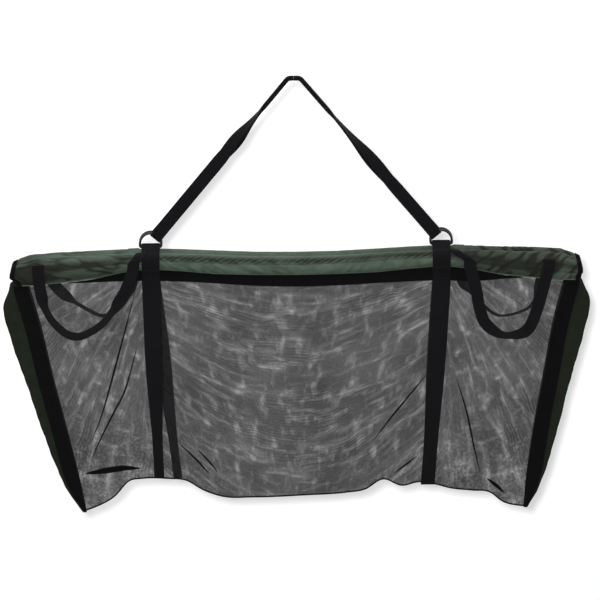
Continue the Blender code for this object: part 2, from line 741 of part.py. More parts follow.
def build_girth_strap(label, half, side_name, tree, parent):
    """Webbing from the D-ring's bar over the sleeve and down the bag to its lower edge."""
    side = SIDES[side_name]
    foot_x = side * GIRTH_FOOT[label, side_name] * STRAP_X
    profile = [(side * STRAP_X, out, z) for out, z in girth_profile()]
    share = foot_x / (HALF_LENGTH - CORNER_INSET)
    bottom = foot_z(share) + 1.5
    steps = 12
    out = profile[-1][1]
    for step in range(1, steps + 1):
        fall = step / steps
        z = BAG_TOP_Z + fall * (bottom - BAG_TOP_Z)
        x = side * STRAP_X + (foot_x - side * STRAP_X) * fall
        fallback = out - PANEL / 2 - GAP - WEBBING / 2
        out = laid_out(tree, half, x, z, GIRTH_WIDTH / 2, 8, fallback) + PANEL / 2 + GAP + WEBBING / 2
        profile.append((x, out, z))
    sections = []
    for i, (x, out, z) in enumerate(profile):
        before = profile[max(i - 1, 0)]
        after = profile[min(i + 1, len(profile) - 1)]
        along = Vector((0, half * (after[1] - before[1]), after[2] - before[2])).normalized()
        normal = Vector((1, 0, 0)).cross(along)
        edge = Vector((GIRTH_WIDTH / 2, 0, 0))
        face = normal * (WEBBING / 2)
        centre = Vector((x, half * out, z))
        under, over = centre - face, centre + face
        sections.append([under - edge, under + edge, over + edge, over - edge])
    return loft(f"{label}_girth_strap_{side_name}", sections, "webbing", parent)


def build_bindings(label, half, parent):
    """Top binding under the sleeve."""
    end = HALF_LENGTH - CORNER_INSET * BAND_LINE[0][1] + MESH_UNDER_BAND
    spots = [x for x in sleeve_stations() if abs(x) < end - 5]
    spots = [-end, *spots, end]
    top = [(x, half * SLEEVE_Y, sleeve_shape(x)[1] - GAP) for x in spots]
    bottom = [(x, half * SLEEVE_Y, BAG_TOP_Z + GAP) for x in spots]
    return sheet(f"{label}_top_binding", [top, bottom], BINDING, "binding", parent)


def band_width(side, depth):
    """Width of a side band, which narrows where the gusset runs out at the corner."""
    inner = bag_edge_x(side, BAND_LINE, depth)
    outer = bag_edge_x(side, LEAF_LINE, depth)
    return min(BAND_WIDTH, 0.78 * abs(outer - inner))


def build_side(label, half, side_name, tree, parent):
    """Black band down the mesh's edge, and the green gusset leaf that folds outward from it."""
    side = SIDES[side_name]
    band, leaf = [], []
    for row in range(SIDE_ROWS + 1):
        depth = row / SIDE_ROWS
        z = BAG_TOP_Z - BAND_BELOW_BINDING + depth * (CORNER_Z + 2 - BAG_TOP_Z + BAND_BELOW_BINDING)
        inner = bag_edge_x(side, BAND_LINE, depth)
        outer = bag_edge_x(side, LEAF_LINE, depth)
        width = band_width(side, depth)
        under = mesh_under(side, depth)
        edge_out = laid_out(tree, half, inner + side * (under - 2), z, 2, 18, FOOT_Y)
        inner_out = max(laid_out(tree, half, inner, z, 3, 18, edge_out), edge_out)
        lift = PANEL / 2 + GAP + BINDING / 2
        stops = ((0.0, inner_out + lift), (under / width, edge_out + lift), (1.0, edge_out * 0.8 + lift))
        band.append([(inner + side * width * share, half * out, z) for share, out in stops])
        root_x = inner + side * (under + 1.2)
        root_out = max(edge_out - GAP, GUSSET_EDGE_Y)
        span = outer - root_x
        folds = ((0.0, 1.0), (0.45, 0.62), (0.82, 0.28), (1.0, 0.0))
        leaf.append(
            [
                (root_x + along * span, half * (GUSSET_EDGE_Y + open_by * (root_out - GUSSET_EDGE_Y)), z)
                for along, open_by in folds
            ]
        )
    sheet(f"{label}_side_band_{side_name}", band, BINDING, "binding", parent)
    sheet(f"{label}_gusset_{side_name}", leaf, GUSSET, "gusset_cloth", parent)


def build_zip_tape(label, half, tree, parent):
    """Zip tape sewn to the sleeve, with its row of teeth as a bead along the inner edge."""
    near = ZIP_WEB / 2 + GAP
    far = near + ZIP_BEAD_WIDTH
    spots = [-ZIP_HALF, *(x for x in sleeve_stations() if abs(x) < ZIP_HALF - 5), ZIP_HALF]
    sections = []
    for x in spots:
        rays = [Vector((x, 0, ZIP_Z + up)) for up in (-ZIP_TAPE, ZIP_TAPE)]
        hits = [tree.ray_cast(ray, Vector((0, half, 0)))[0] for ray in rays]
        edge = min(half * hit[1] for hit in hits) - GAP - ZIP_SEAM_GAP
        bead, flat = ZIP_BEAD_HEIGHT / 2, ZIP_TAPE / 2
        upper = [(near, bead), (far, bead), (far, flat), (edge, flat)]
        outline = upper + [(out, -up) for out, up in reversed(upper)]
        sections.append([(x, half * out, ZIP_Z + up) for out, up in outline])
    return loft(f"{label}_zip_tape", sections, "zip", parent)


def build_zip_stop(name, side, parent):
    """Crimped stop on the rear tape, just past one end of the slider's run."""
    bm = bmesh.new()
    made = bmesh.ops.create_cube(bm, size=1.0)["verts"]
    bmesh.ops.scale(bm, vec=(STOP_LENGTH, ZIP_BEAD_WIDTH, STOP_HEIGHT), verts=made)
    place = (
        side * (ZIP_HALF - STOP_LENGTH),
        ZIP_WEB / 2 + GAP + ZIP_BEAD_WIDTH / 2,
        ZIP_Z + ZIP_BEAD_HEIGHT / 2 + GAP + STOP_HEIGHT / 2,
    )
    bmesh.ops.translate(bm, verts=made, vec=place)
    bmesh.ops.bevel(bm, geom=bm.edges[:], offset=0.3, segments=1, affect="EDGES")
    return finish_mesh(name, bm, "zip_metal", parent)


def slider_rest_x():
    """Middle of the slider at the closed end of the zip."""
    return ZIP_HALF - 1.5 * STOP_LENGTH - SLIDER_LENGTH / 2 - STOP_SLACK


def build_slider(parent):
    """Slider: two plates joined by a thin web between the rows of teeth, with two ears and a pin for the pull.

    Its lips hook behind the rear row only, so that the front row leaves it as the mouth opens.
    """
    centre_x = slider_rest_x()
    web = ZIP_WEB / 2
    plate_in = ZIP_BEAD_HEIGHT / 2 + GAP
    plate_out = plate_in + SLIDER_PLATE
    half_width = SLIDER_WIDTH / 2
    lip_in = ZIP_WEB / 2 + GAP + ZIP_BEAD_WIDTH + GAP
    lip_down = ZIP_TAPE / 2 + GAP
    rim = [(half_width, plate_out - 0.5), (half_width - 0.7, plate_out)]
    hooked = [(web, plate_in), (lip_in, plate_in), (lip_in, lip_down), (half_width, lip_down), *rim]
    plain = [(web, plate_in), (half_width, plate_in), *rim]
    outline = list(hooked)
    outline += [(-y, z) for y, z in reversed(plain)]
    outline += [(-y, -z) for y, z in plain]
    outline += [(y, -z) for y, z in reversed(hooked)]
    sections = []
    for along, narrow in ((-0.5, 0.86), (-0.1, 1.0), (0.5, 1.0)):
        squeeze = [(y * narrow if abs(y) > lip_in + 0.01 else y, z) for y, z in outline]
        sections.append([(centre_x + along * SLIDER_LENGTH, y, ZIP_Z + z) for y, z in squeeze])
    body = loft("zip_slider", sections, "zip_metal", parent)
    add_union(body, slider_crown(centre_x, plate_out, parent))
    return body


def pull_pin_z():
    """Height of the pull's pin over the teeth."""
    eye = PULL_PIN / 2 + GAP + 1.0
    return ZIP_Z + ZIP_BEAD_HEIGHT / 2 + GAP + SLIDER_PLATE + eye + GAP


def slider_crown(centre_x, plate_out, parent):
    """Ears and pin on top of the slider, joined to it by a Boolean."""
    bm = bmesh.new()
    ear_inside = 2.4
    ear_thick = 1.0
    top = pull_pin_z() + PULL_PIN / 2 + 0.5
    bottom = ZIP_Z + plate_out - 0.6
    for side in (LEFT, RIGHT):
        made = bmesh.ops.create_cube(bm, size=1.0)["verts"]
        bmesh.ops.scale(bm, vec=(3.6, ear_thick, top - bottom), verts=made)
        bmesh.ops.translate(bm, verts=made, vec=(centre_x, side * (ear_inside + ear_thick / 2), (top + bottom) / 2))
    ears = finish_mesh("slider_ears_guide", bm, "zip_metal", parent)
    bm = bmesh.new()
    pin_length = 2 * ear_inside + ear_thick
    bmesh.ops.create_cone(
        bm, cap_ends=True, segments=10, radius1=PULL_PIN / 2, radius2=PULL_PIN / 2, depth=pin_length
    )
    along_y = Vector((0, 0, 1)).rotation_difference((0, 1, 0)).to_matrix()
    bmesh.ops.rotate(bm, verts=bm.verts, cent=(0, 0, 0), matrix=along_y)
    bmesh.ops.translate(bm, verts=bm.verts, vec=(centre_x, 0, pull_pin_z()))
    pin = finish_mesh("slider_pin_guide", bm, "zip_metal", parent)
    return [ears, pin]


def add_union(obj, others):
    """Join helper bodies to an object with Booleans and keep them out of the model."""
    for other in others:
        other.hide_render = True
        other.display_type = "WIRE"
        modifier = obj.modifiers.new("Join", "BOOLEAN")
        modifier.operation = "UNION"
        modifier.solver = "EXACT"
        modifier.object = other


def build_pull(parent):
    """Flat pull tab whose eye turns on the slider's pin; it lies back along the teeth."""
    centre_x = slider_rest_x()
    bore = PULL_PIN / 2 + GAP
    eye = bore + 1.0
    around = 12
    eye_half = 2.1
    bm = bmesh.new()
    rings = []
    for radius, y in ((bore, -eye_half), (bore, eye_half), (eye, eye_half), (eye, -eye_half)):
        rings.append(
            [
                bm.verts.new(
                    (
                        centre_x + radius * math.sin(2 * math.pi * i / around),
                        y,
                        pull_pin_z() + radius * math.cos(2 * math.pi * i / around),
                    )
                )
                for i in range(around)
            ]
        )
    for near, far in zip(rings, rings[1:] + rings[:1]):
        for i in range(around):
            j = (i + 1) % around
            bm.faces.new((near[i], near[j], far[j], far[i]))
    body = finish_mesh("zip_pull", bm, "zip_metal", parent)
    low = pull_pin_z() - eye + 0.05
    sections = []
    neck = [(eye - 0.5, 2 * eye_half), (eye + 2.5, 2 * eye_half)]
    blade = [(eye + 5, PULL_WIDTH), (PULL_LENGTH - 2, PULL_WIDTH), (PULL_LENGTH, PULL_WIDTH - 3)]
    for along, width in neck + blade:
        x = centre_x - along
        sections.append(
            [
                (x, -width / 2, low),
                (x, width / 2, low),
                (x, width / 2, low + PULL_THICK),
                (x, -width / 2, low + PULL_THICK),
            ]
        )
    tab = loft("pull_tab_guide", sections, "zip_metal", parent)
    add_union(body, [tab])
    return body


def build_handle_tab(name, half, end_x, top_angle, parent):
    """Sewn end of a handle, over the sleeve's outer face down past the handle's hinge line."""
    lift = GAP + WEBBING / 2
    sections = []
    for angle in np.linspace(top_angle, 88, 6):
        edges = [sleeve_point(half, end_x + dx, angle, lift) for dx in (-HANDLE_WIDTH / 2, HANDLE_WIDTH / 2)]
        if min(edge[2] for edge in edges) > HANDLE_Z + 2:
            sections.append(edges)
    sections.append([(edge[0], half * TAB_Q, HANDLE_Z - TAB_OVERLAP) for edge in sections[-1]])
    rows = []
    for i, (left, right) in enumerate(sections):
        before = Vector(sections[max(i - 1, 0)][0])
        after = Vector(sections[min(i + 1, len(sections) - 1)][0])
        along = Vector((0, after[1] - before[1], after[2] - before[2])).normalized()
        face = Vector((1, 0, 0)).cross(along) * (WEBBING / 2)
        left, right = Vector(left), Vector(right)
        rows.append((left - face, right - face, right + face, left + face))
    return loft(name, rows, "webbing", parent)


def route_curve(points, per_span=4):
    """Points along a smooth curve through a route's own points, upright at both ends."""
    points = [Vector(point) for point in points]
    before = Vector((points[1][0], 2 * points[0][1] - points[1][1]))
    after = Vector((points[-2][0], 2 * points[-1][1] - points[-2][1]))
    padded = [before, *points, after]
    curve = []
    for i in range(1, len(padded) - 2):
        p0, p1, p2, p3 = padded[i - 1 : i + 3]
        for step in range(per_span):
            t = step / per_span
            curve.append(
                p1
                + 0.5 * (p2 - p0) * t
                + 0.5 * (2 * p0 - 5 * p1 + 4 * p2 - p3) * t**2
                + 0.5 * (3 * p1 - p0 - 3 * p2 + p3) * t**3
            )
    curve.append(points[-1])
    return curve


def handle_route(label, side_name):
    """Points of a handle's route, as (x, z), from its outer sewn end to its inner."""
    reach = HALF_LENGTH - STRAP_X
    return [
        (SIDES[side_name] * (STRAP_X + share * reach), HANDLE_Z - drop * HANDLE_DROP)
        for share, drop in HANDLE_ROUTES[label, side_name]
    ]


def build_handle(label, half, side_name, parent):
    """Carrying handle: webbing that turns edge-on at the bottom of its loop."""
    route = handle_route(label, side_name)
    curve = route_curve(route)
    lengths = np.concatenate([[0], np.cumsum([(b - a).length for a, b in zip(curve, curve[1:])])])
    lowest = min(range(len(curve)), key=lambda i: curve[i][1])
    lowest_turn, edge_on_to, facing_from = HANDLE_TURNS[label, side_name]
    outside = Vector((0, half, 0))
    sections = []
    for i, point in enumerate(curve):
        before, after = curve[max(i - 1, 0)], curve[min(i + 1, len(curve) - 1)]
        flat = (after - before).normalized()
        if i in (0, len(curve) - 1):
            flat = Vector((0, -1 if i == 0 else 1))
        tangent = Vector((flat[0], 0, flat[1]))
        away = abs(lengths[i] - lengths[lowest]) / HANDLE_DROP
        turn = math.radians(lowest_turn + (90 - lowest_turn) * smoothstep(edge_on_to, facing_from, away))
        inward = Vector((-flat[1], 0, flat[0])) * (1 if route[0][0] < route[-1][0] else -1)
        normal = math.cos(turn) * inward + math.sin(turn) * outside
        across = normal.cross(tangent)
        centre = Vector((point[0], half * HANDLE_Q, point[1]))
        edge = across * (HANDLE_WIDTH / 2)
        face = normal * (WEBBING / 2)
        under, over = centre - face, centre + face
        sections.append([under - edge, under + edge, over + edge, over - edge])
    return loft(f"{label}_handle_{side_name}", sections, "webbing", parent)


def build_half(label, half, parent):
    """Everything that one long half of the bag carries: sleeve, mesh, bindings, girth straps and zip tape."""
    build_sleeve(f"{label}_sleeve", half, parent)
    build_sleeve_filling(label, half, parent)
    tree = grid_tree(panel_grid(half))
    sheet(f"{label}_mesh_panel", panel_grid(half), PANEL, "mesh_cloth", parent)
    build_bindings(label, half, parent)
    build_zip_tape(label, half, sleeve_tree(half), parent)
    for side_name, side in SIDES.items():
        build_sleeve_cap(f"{label}_sleeve_cap_{side_name}", half, side, parent)
        build_girth_strap(label, half, side_name, tree, parent)
        build_side(label, half, side_name, tree, parent)
        route = handle_route(label, side_name)
        for end_name, (end_x, _) in (("outer", route[0]), ("inner", route[-1])):
            name = f"{label}_handle_{side_name}_{end_name}_end"
            build_handle_tab(name, half, end_x, TAB_TOP_ANGLES[end_name], parent)
        hinge = pivot(f"{label}_handle_{side_name}_hinge", (0, half * HANDLE_Q, HANDLE_Z), parent)
        build_handle(label, half, side_name, hinge)


def build_weigh_set(label, half, parent):
    """A weigh strap with its two D-rings."""
    build_weigh_strap(f"{label}_weigh_strap", half, parent)
    for side_name, side in SIDES.items():
        build_ring(f"{label}_d_ring_{side_name}", side, half, parent)


def main():
    for obj in list(bpy.data.objects):
        bpy.data.objects.remove(obj, do_unlink=True)
    hook = pivot("hook_seat", (0, 0, 0))
    build_weigh_set("rear", REAR, hook)
    bag_swing = pivot("bag_swing", (0, BAR_Y, BAR_Z), hook)
    build_half("rear", REAR, bag_swing)
    mouth = pivot("mouth_open", (0, 0, CORNER_Z - 3), bag_swing)
    build_half("front", FRONT, mouth)
    front_swing = pivot("front_strap_swing", (0, -BAR_Y, BAR_Z), mouth)
    build_weigh_set("front", FRONT, front_swing)
    for side_name, side in SIDES.items():
        build_zip_stop(f"zip_stop_{side_name}", side, bag_swing)
    slide = pivot("zip_slide", (slider_rest_x(), 0, ZIP_Z), bag_swing)
    build_slider(slide)
    pull_hinge = pivot("pull_hinge", (slider_rest_x(), 0, pull_pin_z()), slide)
    build_pull(pull_hinge)


main()
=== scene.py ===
"""Looks of a retainer sling, hung closed and empty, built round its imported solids.

The sizes repeat those of the part's source, in millimetres. X runs along the sling, -Y is its
front and +Z is up; the origin is where a scale's hook bears.
"""

import logging
import math
from bisect import bisect_left
from collections.abc import Callable, Sequence
from dataclasses import dataclass, field
from enum import Enum
from functools import cached_property, lru_cache

import bmesh
import bpy
import numpy as np
from mathutils import Matrix, Vector, noise
from mathutils.bvhtree import BVHTree


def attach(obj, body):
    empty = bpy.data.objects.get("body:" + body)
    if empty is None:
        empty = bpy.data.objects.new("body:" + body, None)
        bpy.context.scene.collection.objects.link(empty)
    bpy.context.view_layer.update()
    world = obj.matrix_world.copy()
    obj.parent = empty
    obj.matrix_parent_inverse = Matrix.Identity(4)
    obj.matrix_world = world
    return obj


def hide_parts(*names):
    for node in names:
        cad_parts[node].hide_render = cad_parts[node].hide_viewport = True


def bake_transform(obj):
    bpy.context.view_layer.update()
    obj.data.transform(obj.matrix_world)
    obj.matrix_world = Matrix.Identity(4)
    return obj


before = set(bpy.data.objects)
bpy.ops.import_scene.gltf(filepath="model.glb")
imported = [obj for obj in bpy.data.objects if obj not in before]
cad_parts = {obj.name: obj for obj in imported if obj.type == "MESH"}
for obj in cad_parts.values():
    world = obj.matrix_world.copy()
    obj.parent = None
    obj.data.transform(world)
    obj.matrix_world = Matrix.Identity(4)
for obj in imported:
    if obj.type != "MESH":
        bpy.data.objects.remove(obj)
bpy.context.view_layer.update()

LOG = logging.getLogger("retainer_sling")
MM = 0.001
GAP = 0.3
ALONG = Vector((1, 0, 0))
FORWARD = Vector((0, -1, 0))
UP = Vector((0, 0, 1))
# Places where a piece joins the rear to the front half, in metres; such a piece is left on no body
FOOT_BEND = ((0, 0, -0.85), (0, 0, -0.75))
MIDDLE_BEND = ((0, 0.003, 0), (0, -0.003, 0))

Point = tuple[float, float, float]
Flat = tuple[float, float]
Line = tuple[Flat, ...]
# Centre, direction across, normal, width and thickness
Section = tuple[Vector, Vector, Vector, float, float]
Node = bpy.types.Node
Socket = bpy.types.NodeSocket
Tree = bpy.types.NodeTree


class Named(Enum):
    """Part of the sling that has a word in piece names."""

    @property
    def label(self) -> str:
        """Word for it in piece names."""
        return self.name.lower()


class Side(Named):
    """End of the sling that a piece is on, with the sign of its X."""

    LEFT = -1
    RIGHT = 1


class Half(Named):
    """Long half of the bag that a piece belongs to, with the sign of its Y."""

    FRONT = -1
    REAR = 1

    @property
    def body(self) -> str:
        """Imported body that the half's sewn pieces ride on."""
        return f"{self.label}_half"

    @property
    def strap_body(self) -> str:
        """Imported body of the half's weigh strap and rings."""
        return "hook_strap" if self is Half.REAR else "front_strap"

    @property
    def outside(self) -> Vector:
        """Direction away from the other half."""
        return Vector((0, self.value, 0))


@lru_cache(maxsize=None)
def knots(line: Line) -> tuple[tuple[float, ...], tuple[float, ...], np.ndarray]:
    """Positions and values of a curve's points, and its slope at each."""
    spots, values = zip(*line)
    return spots, values, np.gradient(values, spots)


def eased(line: Line, position: float) -> float:
    """Value at a position of a smooth curve through points.

    Args:
        line: Points of the curve, as position and value, in order of position.
        position: Where to read it; held within the curve's ends.

    Returns:
        The curve's value there.
    """
    spots, values, slopes = knots(line)
    position = min(max(position, spots[0]), spots[-1])
    right = min(max(bisect_left(spots, position), 1), len(spots) - 1)
    left = right - 1
    span = spots[right] - spots[left]
    t = (position - spots[left]) / span
    return float(
        (2 * t**3 - 3 * t**2 + 1) * values[left]
        + (t**3 - 2 * t**2 + t) * span * slopes[left]
        + (3 * t**2 - 2 * t**3) * values[right]
        + (t**3 - t**2) * span * slopes[right]
    )


def spaced(start: float, end: float, count: int) -> list[float]:
    """Evenly spaced numbers from start to end, both kept."""
    return [float(value) for value in np.linspace(start, end, count)]


def smoothstep(start: float, end: float, value: float) -> float:
    """Smooth rise from 0 to 1 between a start and an end, which may run down."""
    t = min(max((value - start) / (end - start), 0.0), 1.0)
    return t * t * (3 - 2 * t)


def ripple(x: float, y: float, z: float, size: float, depth: int = 3) -> float:
    """Even, repeatable noise for cloth.

    Args:
        x: First place in millimetres.
        y: Second place in millimetres.
        z: Third place in millimetres.
        size: Size of the largest ripple in millimetres.
        depth: Number of octaves.

    Returns:
        About -1 to 1.
    """
    place = Vector((x / size, y / size, z / size))
    return float(noise.fractal(place, 0.6, 2.1, depth, noise_basis="PERLIN_ORIGINAL"))


def headings(points: Sequence[Vector]) -> list[Vector]:
    """Direction of a path at each of its points."""
    padded = [points[0], *points, points[-1]]
    return [(after - before).normalized() for before, after in zip(padded, padded[2:])]


def lengths_along(points: Sequence[Vector]) -> np.ndarray:
    """Length of a path up to each of its points."""
    return np.concatenate([[0], np.cumsum([(b - a).length for a, b in zip(points, points[1:])])])


def vector_at(place: float, lengths: Sequence[float], vectors: Sequence[Vector]) -> Vector:
    """Vector at a length along a path, between those at its points."""
    return Vector([float(np.interp(place, lengths, [v[axis] for v in vectors])) for axis in range(3)])


def resampled(points: Sequence[Vector], pitch: float) -> list[Vector]:
    """Points at an even pitch along a smooth curve through others.

    Args:
        points: Points of the curve.
        pitch: Distance between the new points.

    Returns:
        The new points, with both ends kept.
    """
    padded = [2 * points[0] - points[1], *points, 2 * points[-1] - points[-2]]
    fine: list[Vector] = []
    for p0, p1, p2, p3 in zip(padded, padded[1:], padded[2:], padded[3:]):
        steps = max(2, int((p2 - p1).length / pitch * 3))
        for t in (step / steps for step in range(steps)):
            square = 0.5 * (2 * p0 - 5 * p1 + 4 * p2 - p3) * t**2
            cube = 0.5 * (3 * p1 - p0 - 3 * p2 + p3) * t**3
            fine.append(p1 + 0.5 * (p2 - p0) * t + square + cube)
    fine.append(points[-1])
    lengths = lengths_along(fine)
    count = max(2, round(lengths[-1] / pitch))
    return [vector_at(place, lengths, fine) for place in spaced(0, lengths[-1], count + 1)]


def srgb(code: str) -> tuple[float, float, float, float]:
    """Linear colour of an sRGB hex code.

    Args:
        code: Colour such as "#1a1b1d".

    Returns:
        Red, green, blue and an alpha of 1, in linear values.
    """
    channels = [int(code[i : i + 2], 16) / 255 for i in (1, 3, 5)]
    linear = [c / 12.92 if c <= 0.04045 else ((c + 0.055) / 1.055) ** 2.4 for c in channels]
    return (linear[0], linear[1], linear[2], 1.0)


def add_node(tree: Tree, kind: str, settings: dict | None = None, links: dict | None = None) -> Node:
    """Add a node with its settings and the links into it.

    Args:
        tree: Node tree that takes the node.
        kind: Node type, less its ShaderNode prefix.
        settings: Values by property name, or by input name or number.
        links: What feeds each input, by its name or number: a socket, or a node for its first output.

    Returns:
        The new node.
    """
    node = tree.nodes.new("ShaderNode" + kind)
    for key, value in (settings or {}).items():
        if isinstance(key, str) and hasattr(node, key):
            setattr(node, key, value)
        else:
            node.inputs[key].default_value = value
    for key, source in (links or {}).items():
        tree.links.new(source if isinstance(source, Socket) else source.outputs[0], node.inputs[key])
    return node


def weave(tree: Tree, along_mm: float, across_mm: float) -> Node:
    """Relief of woven threads: the product of a wave along the cloth and one across it.

    Args:
        tree: Node tree of the material.
        along_mm: Distance from crest to crest along the cloth in millimetres.
        across_mm: The same across it.

    Returns:
        Node that gives -1 to 1.
    """
    waves = {}
    for number, (name, pitch) in enumerate((("along", along_mm), ("across", across_mm))):
        place = add_node(tree, "Attribute", {"attribute_name": name}).outputs["Fac"]
        turns = add_node(tree, "Math", {"operation": "MULTIPLY", 1: math.tau / pitch}, {0: place})
        waves[number] = add_node(tree, "Math", {"operation": "SINE"}, {0: turns})
    return add_node(tree, "Math", {"operation": "MULTIPLY"}, waves)


@dataclass(frozen=True)
class Finish:
    """Base of the finishes: a Principled surface whose even numbers sit on its own sockets."""

    name: str
    colour: str
    roughness: float
    metallic: float = 0.0
    sheen: float = 0.0
    specular: float = 0.5
    relief_mm: float = 0.2
    relief_shown: float = 0.6

    @property
    def relief(self) -> dict[str, float]:
        """Settings for a bump: the relief's height in metres and the share of it that shows."""
        return {"Distance": self.relief_mm * MM, "Strength": self.relief_shown}

    def material(self) -> bpy.types.Material:
        """Make the material, or find the one that an earlier piece made.

        Returns:
            The material of this finish.
        """
        found = bpy.data.materials.get(self.name)
        if found is not None:
            return found
        made = bpy.data.materials.new(self.name)
        made.use_nodes = True
        tree, shader = made.node_tree, made.node_tree.nodes["Principled BSDF"]
        shader.inputs["Base Color"].default_value = srgb(self.colour)
        shader.inputs["Roughness"].default_value = self.roughness
        shader.inputs["Metallic"].default_value = self.metallic
        shader.inputs["Sheen Weight"].default_value = self.sheen
        shader.inputs["Sheen Roughness"].default_value = 0.6
        shader.inputs["Specular IOR Level"].default_value = self.specular
        for name, source in self.detail(tree).items():
            tree.links.new(source, shader.inputs[name])
        return made

    def detail(self, tree: Tree) -> dict[str, Socket]:
        """Add what the real surface shows beyond an even colour.

        Args:
            tree: Node tree of the material.

        Returns:
            Source of each shader input.
        """
        return {}

    def patches(self, tree: Tree, stretch: Point = (1.0, 1.0, 1.0), **settings: float) -> Node:
        """Noise that keeps its place on the object.

        Args:
            tree: Node tree of the material.
            stretch: Scale along each axis.
            settings: Scale, detail, roughness and distortion of the noise.

        Returns:
            Node that gives 0 to 1.
        """
        place = add_node(tree, "TexCoord").outputs["Object"]
        place = add_node(tree, "Mapping", {"Scale": stretch}, {"Vector": place})
        return add_node(tree, "TexNoise", settings, {"Vector": place})


@dataclass(frozen=True)
class PolypropyleneWebbing(Finish):
    """Polypropylene webbing, woven flat: dull black with a faint rib across and lighter rubbed yarns."""

    rib_mm: float = 2.4
    yarn_mm: float = 1.5
    worn: str = "#1a1a1e"
    relief_mm: float = 0.35
    relief_shown: float = 0.7

    def detail(self, tree: Tree) -> dict[str, Socket]:
        """Weave of ribs and yarns, with a little wear.

        Args:
            tree: Node tree of the material.

        Returns:
            Source of each shader input.
        """
        # Ribs and yarns are drawn about twice as coarse as on real webbing, so that they show
        ribs = weave(tree, self.rib_mm, self.yarn_mm)
        height = add_node(tree, "Math", {"operation": "MULTIPLY_ADD", 1: 0.5, 2: 0.5}, {0: ribs})
        bump = add_node(tree, "Bump", self.relief, {"Height": height})
        worn = self.patches(tree, Scale=35.0, Detail=4.0, Roughness=0.6)
        mixed = add_node(tree, "Math", {"operation": "MULTIPLY"}, {0: worn, 1: height})
        tones = {"data_type": "RGBA", 6: srgb(self.colour), 7: srgb(self.worn)}
        tone = add_node(tree, "Mix", tones, {0: mixed})
        return {"Normal": bump.outputs[0], "Base Color": tone.outputs[2]}


@dataclass(frozen=True)
class CoatedPolyester(Finish):
    """Woven polyester, coated on the back: low sheen, fine plain weave and small crease lines with painted
    shade in them.
    """

    thread_mm: float = 1.1
    crease: str = "#3f4a40"
    light: str = "#637465"
    # Darkest colour, for painted shade and darker patches
    soiled: str = "#1d1f18"
    relief_mm: float = 4.0
    relief_shown: float = 0.55

    def detail(self, tree: Tree) -> dict[str, Socket]:
        """Plain weave, soft patches, a web of fine creases with painted shade, and, by the tint, the painted
        shade of folds and darker patches.

        Args:
            tree: Node tree of the material.

        Returns:
            Source of each shader input.
        """
        # The weave is drawn at about three times the real thread spacing, so that it shows
        threads = weave(tree, self.thread_mm, self.thread_mm)
        creases = self.patches(tree, (0.55, 1.0, 1.0), Scale=55.0, Detail=5.0, Roughness=0.62, Distortion=0.6)
        height = add_node(tree, "Math", {"operation": "MULTIPLY_ADD", 1: 0.035}, {0: threads, 2: creases})
        bump = add_node(tree, "Bump", self.relief, {"Height": height})
        # Painted shade: the crease colour darkens the creases of the noise, and the light colour lies between
        # them
        tones = {"data_type": "RGBA", 6: srgb(self.crease), 7: srgb(self.light)}
        lit = add_node(tree, "Mix", tones, {0: creases}).outputs[2]
        # Painted shade of folds and gathers, and darker patches: the tint darkens the cloth towards its
        # darkest colour
        tint = add_node(tree, "Attribute", {"attribute_name": "tint"}).outputs["Fac"]
        shaded = add_node(tree, "Mix", {"data_type": "RGBA", 7: srgb(self.soiled)}, {0: tint, 6: lit})
        return {"Normal": bump.outputs[0], "Base Color": shaded.outputs[2]}


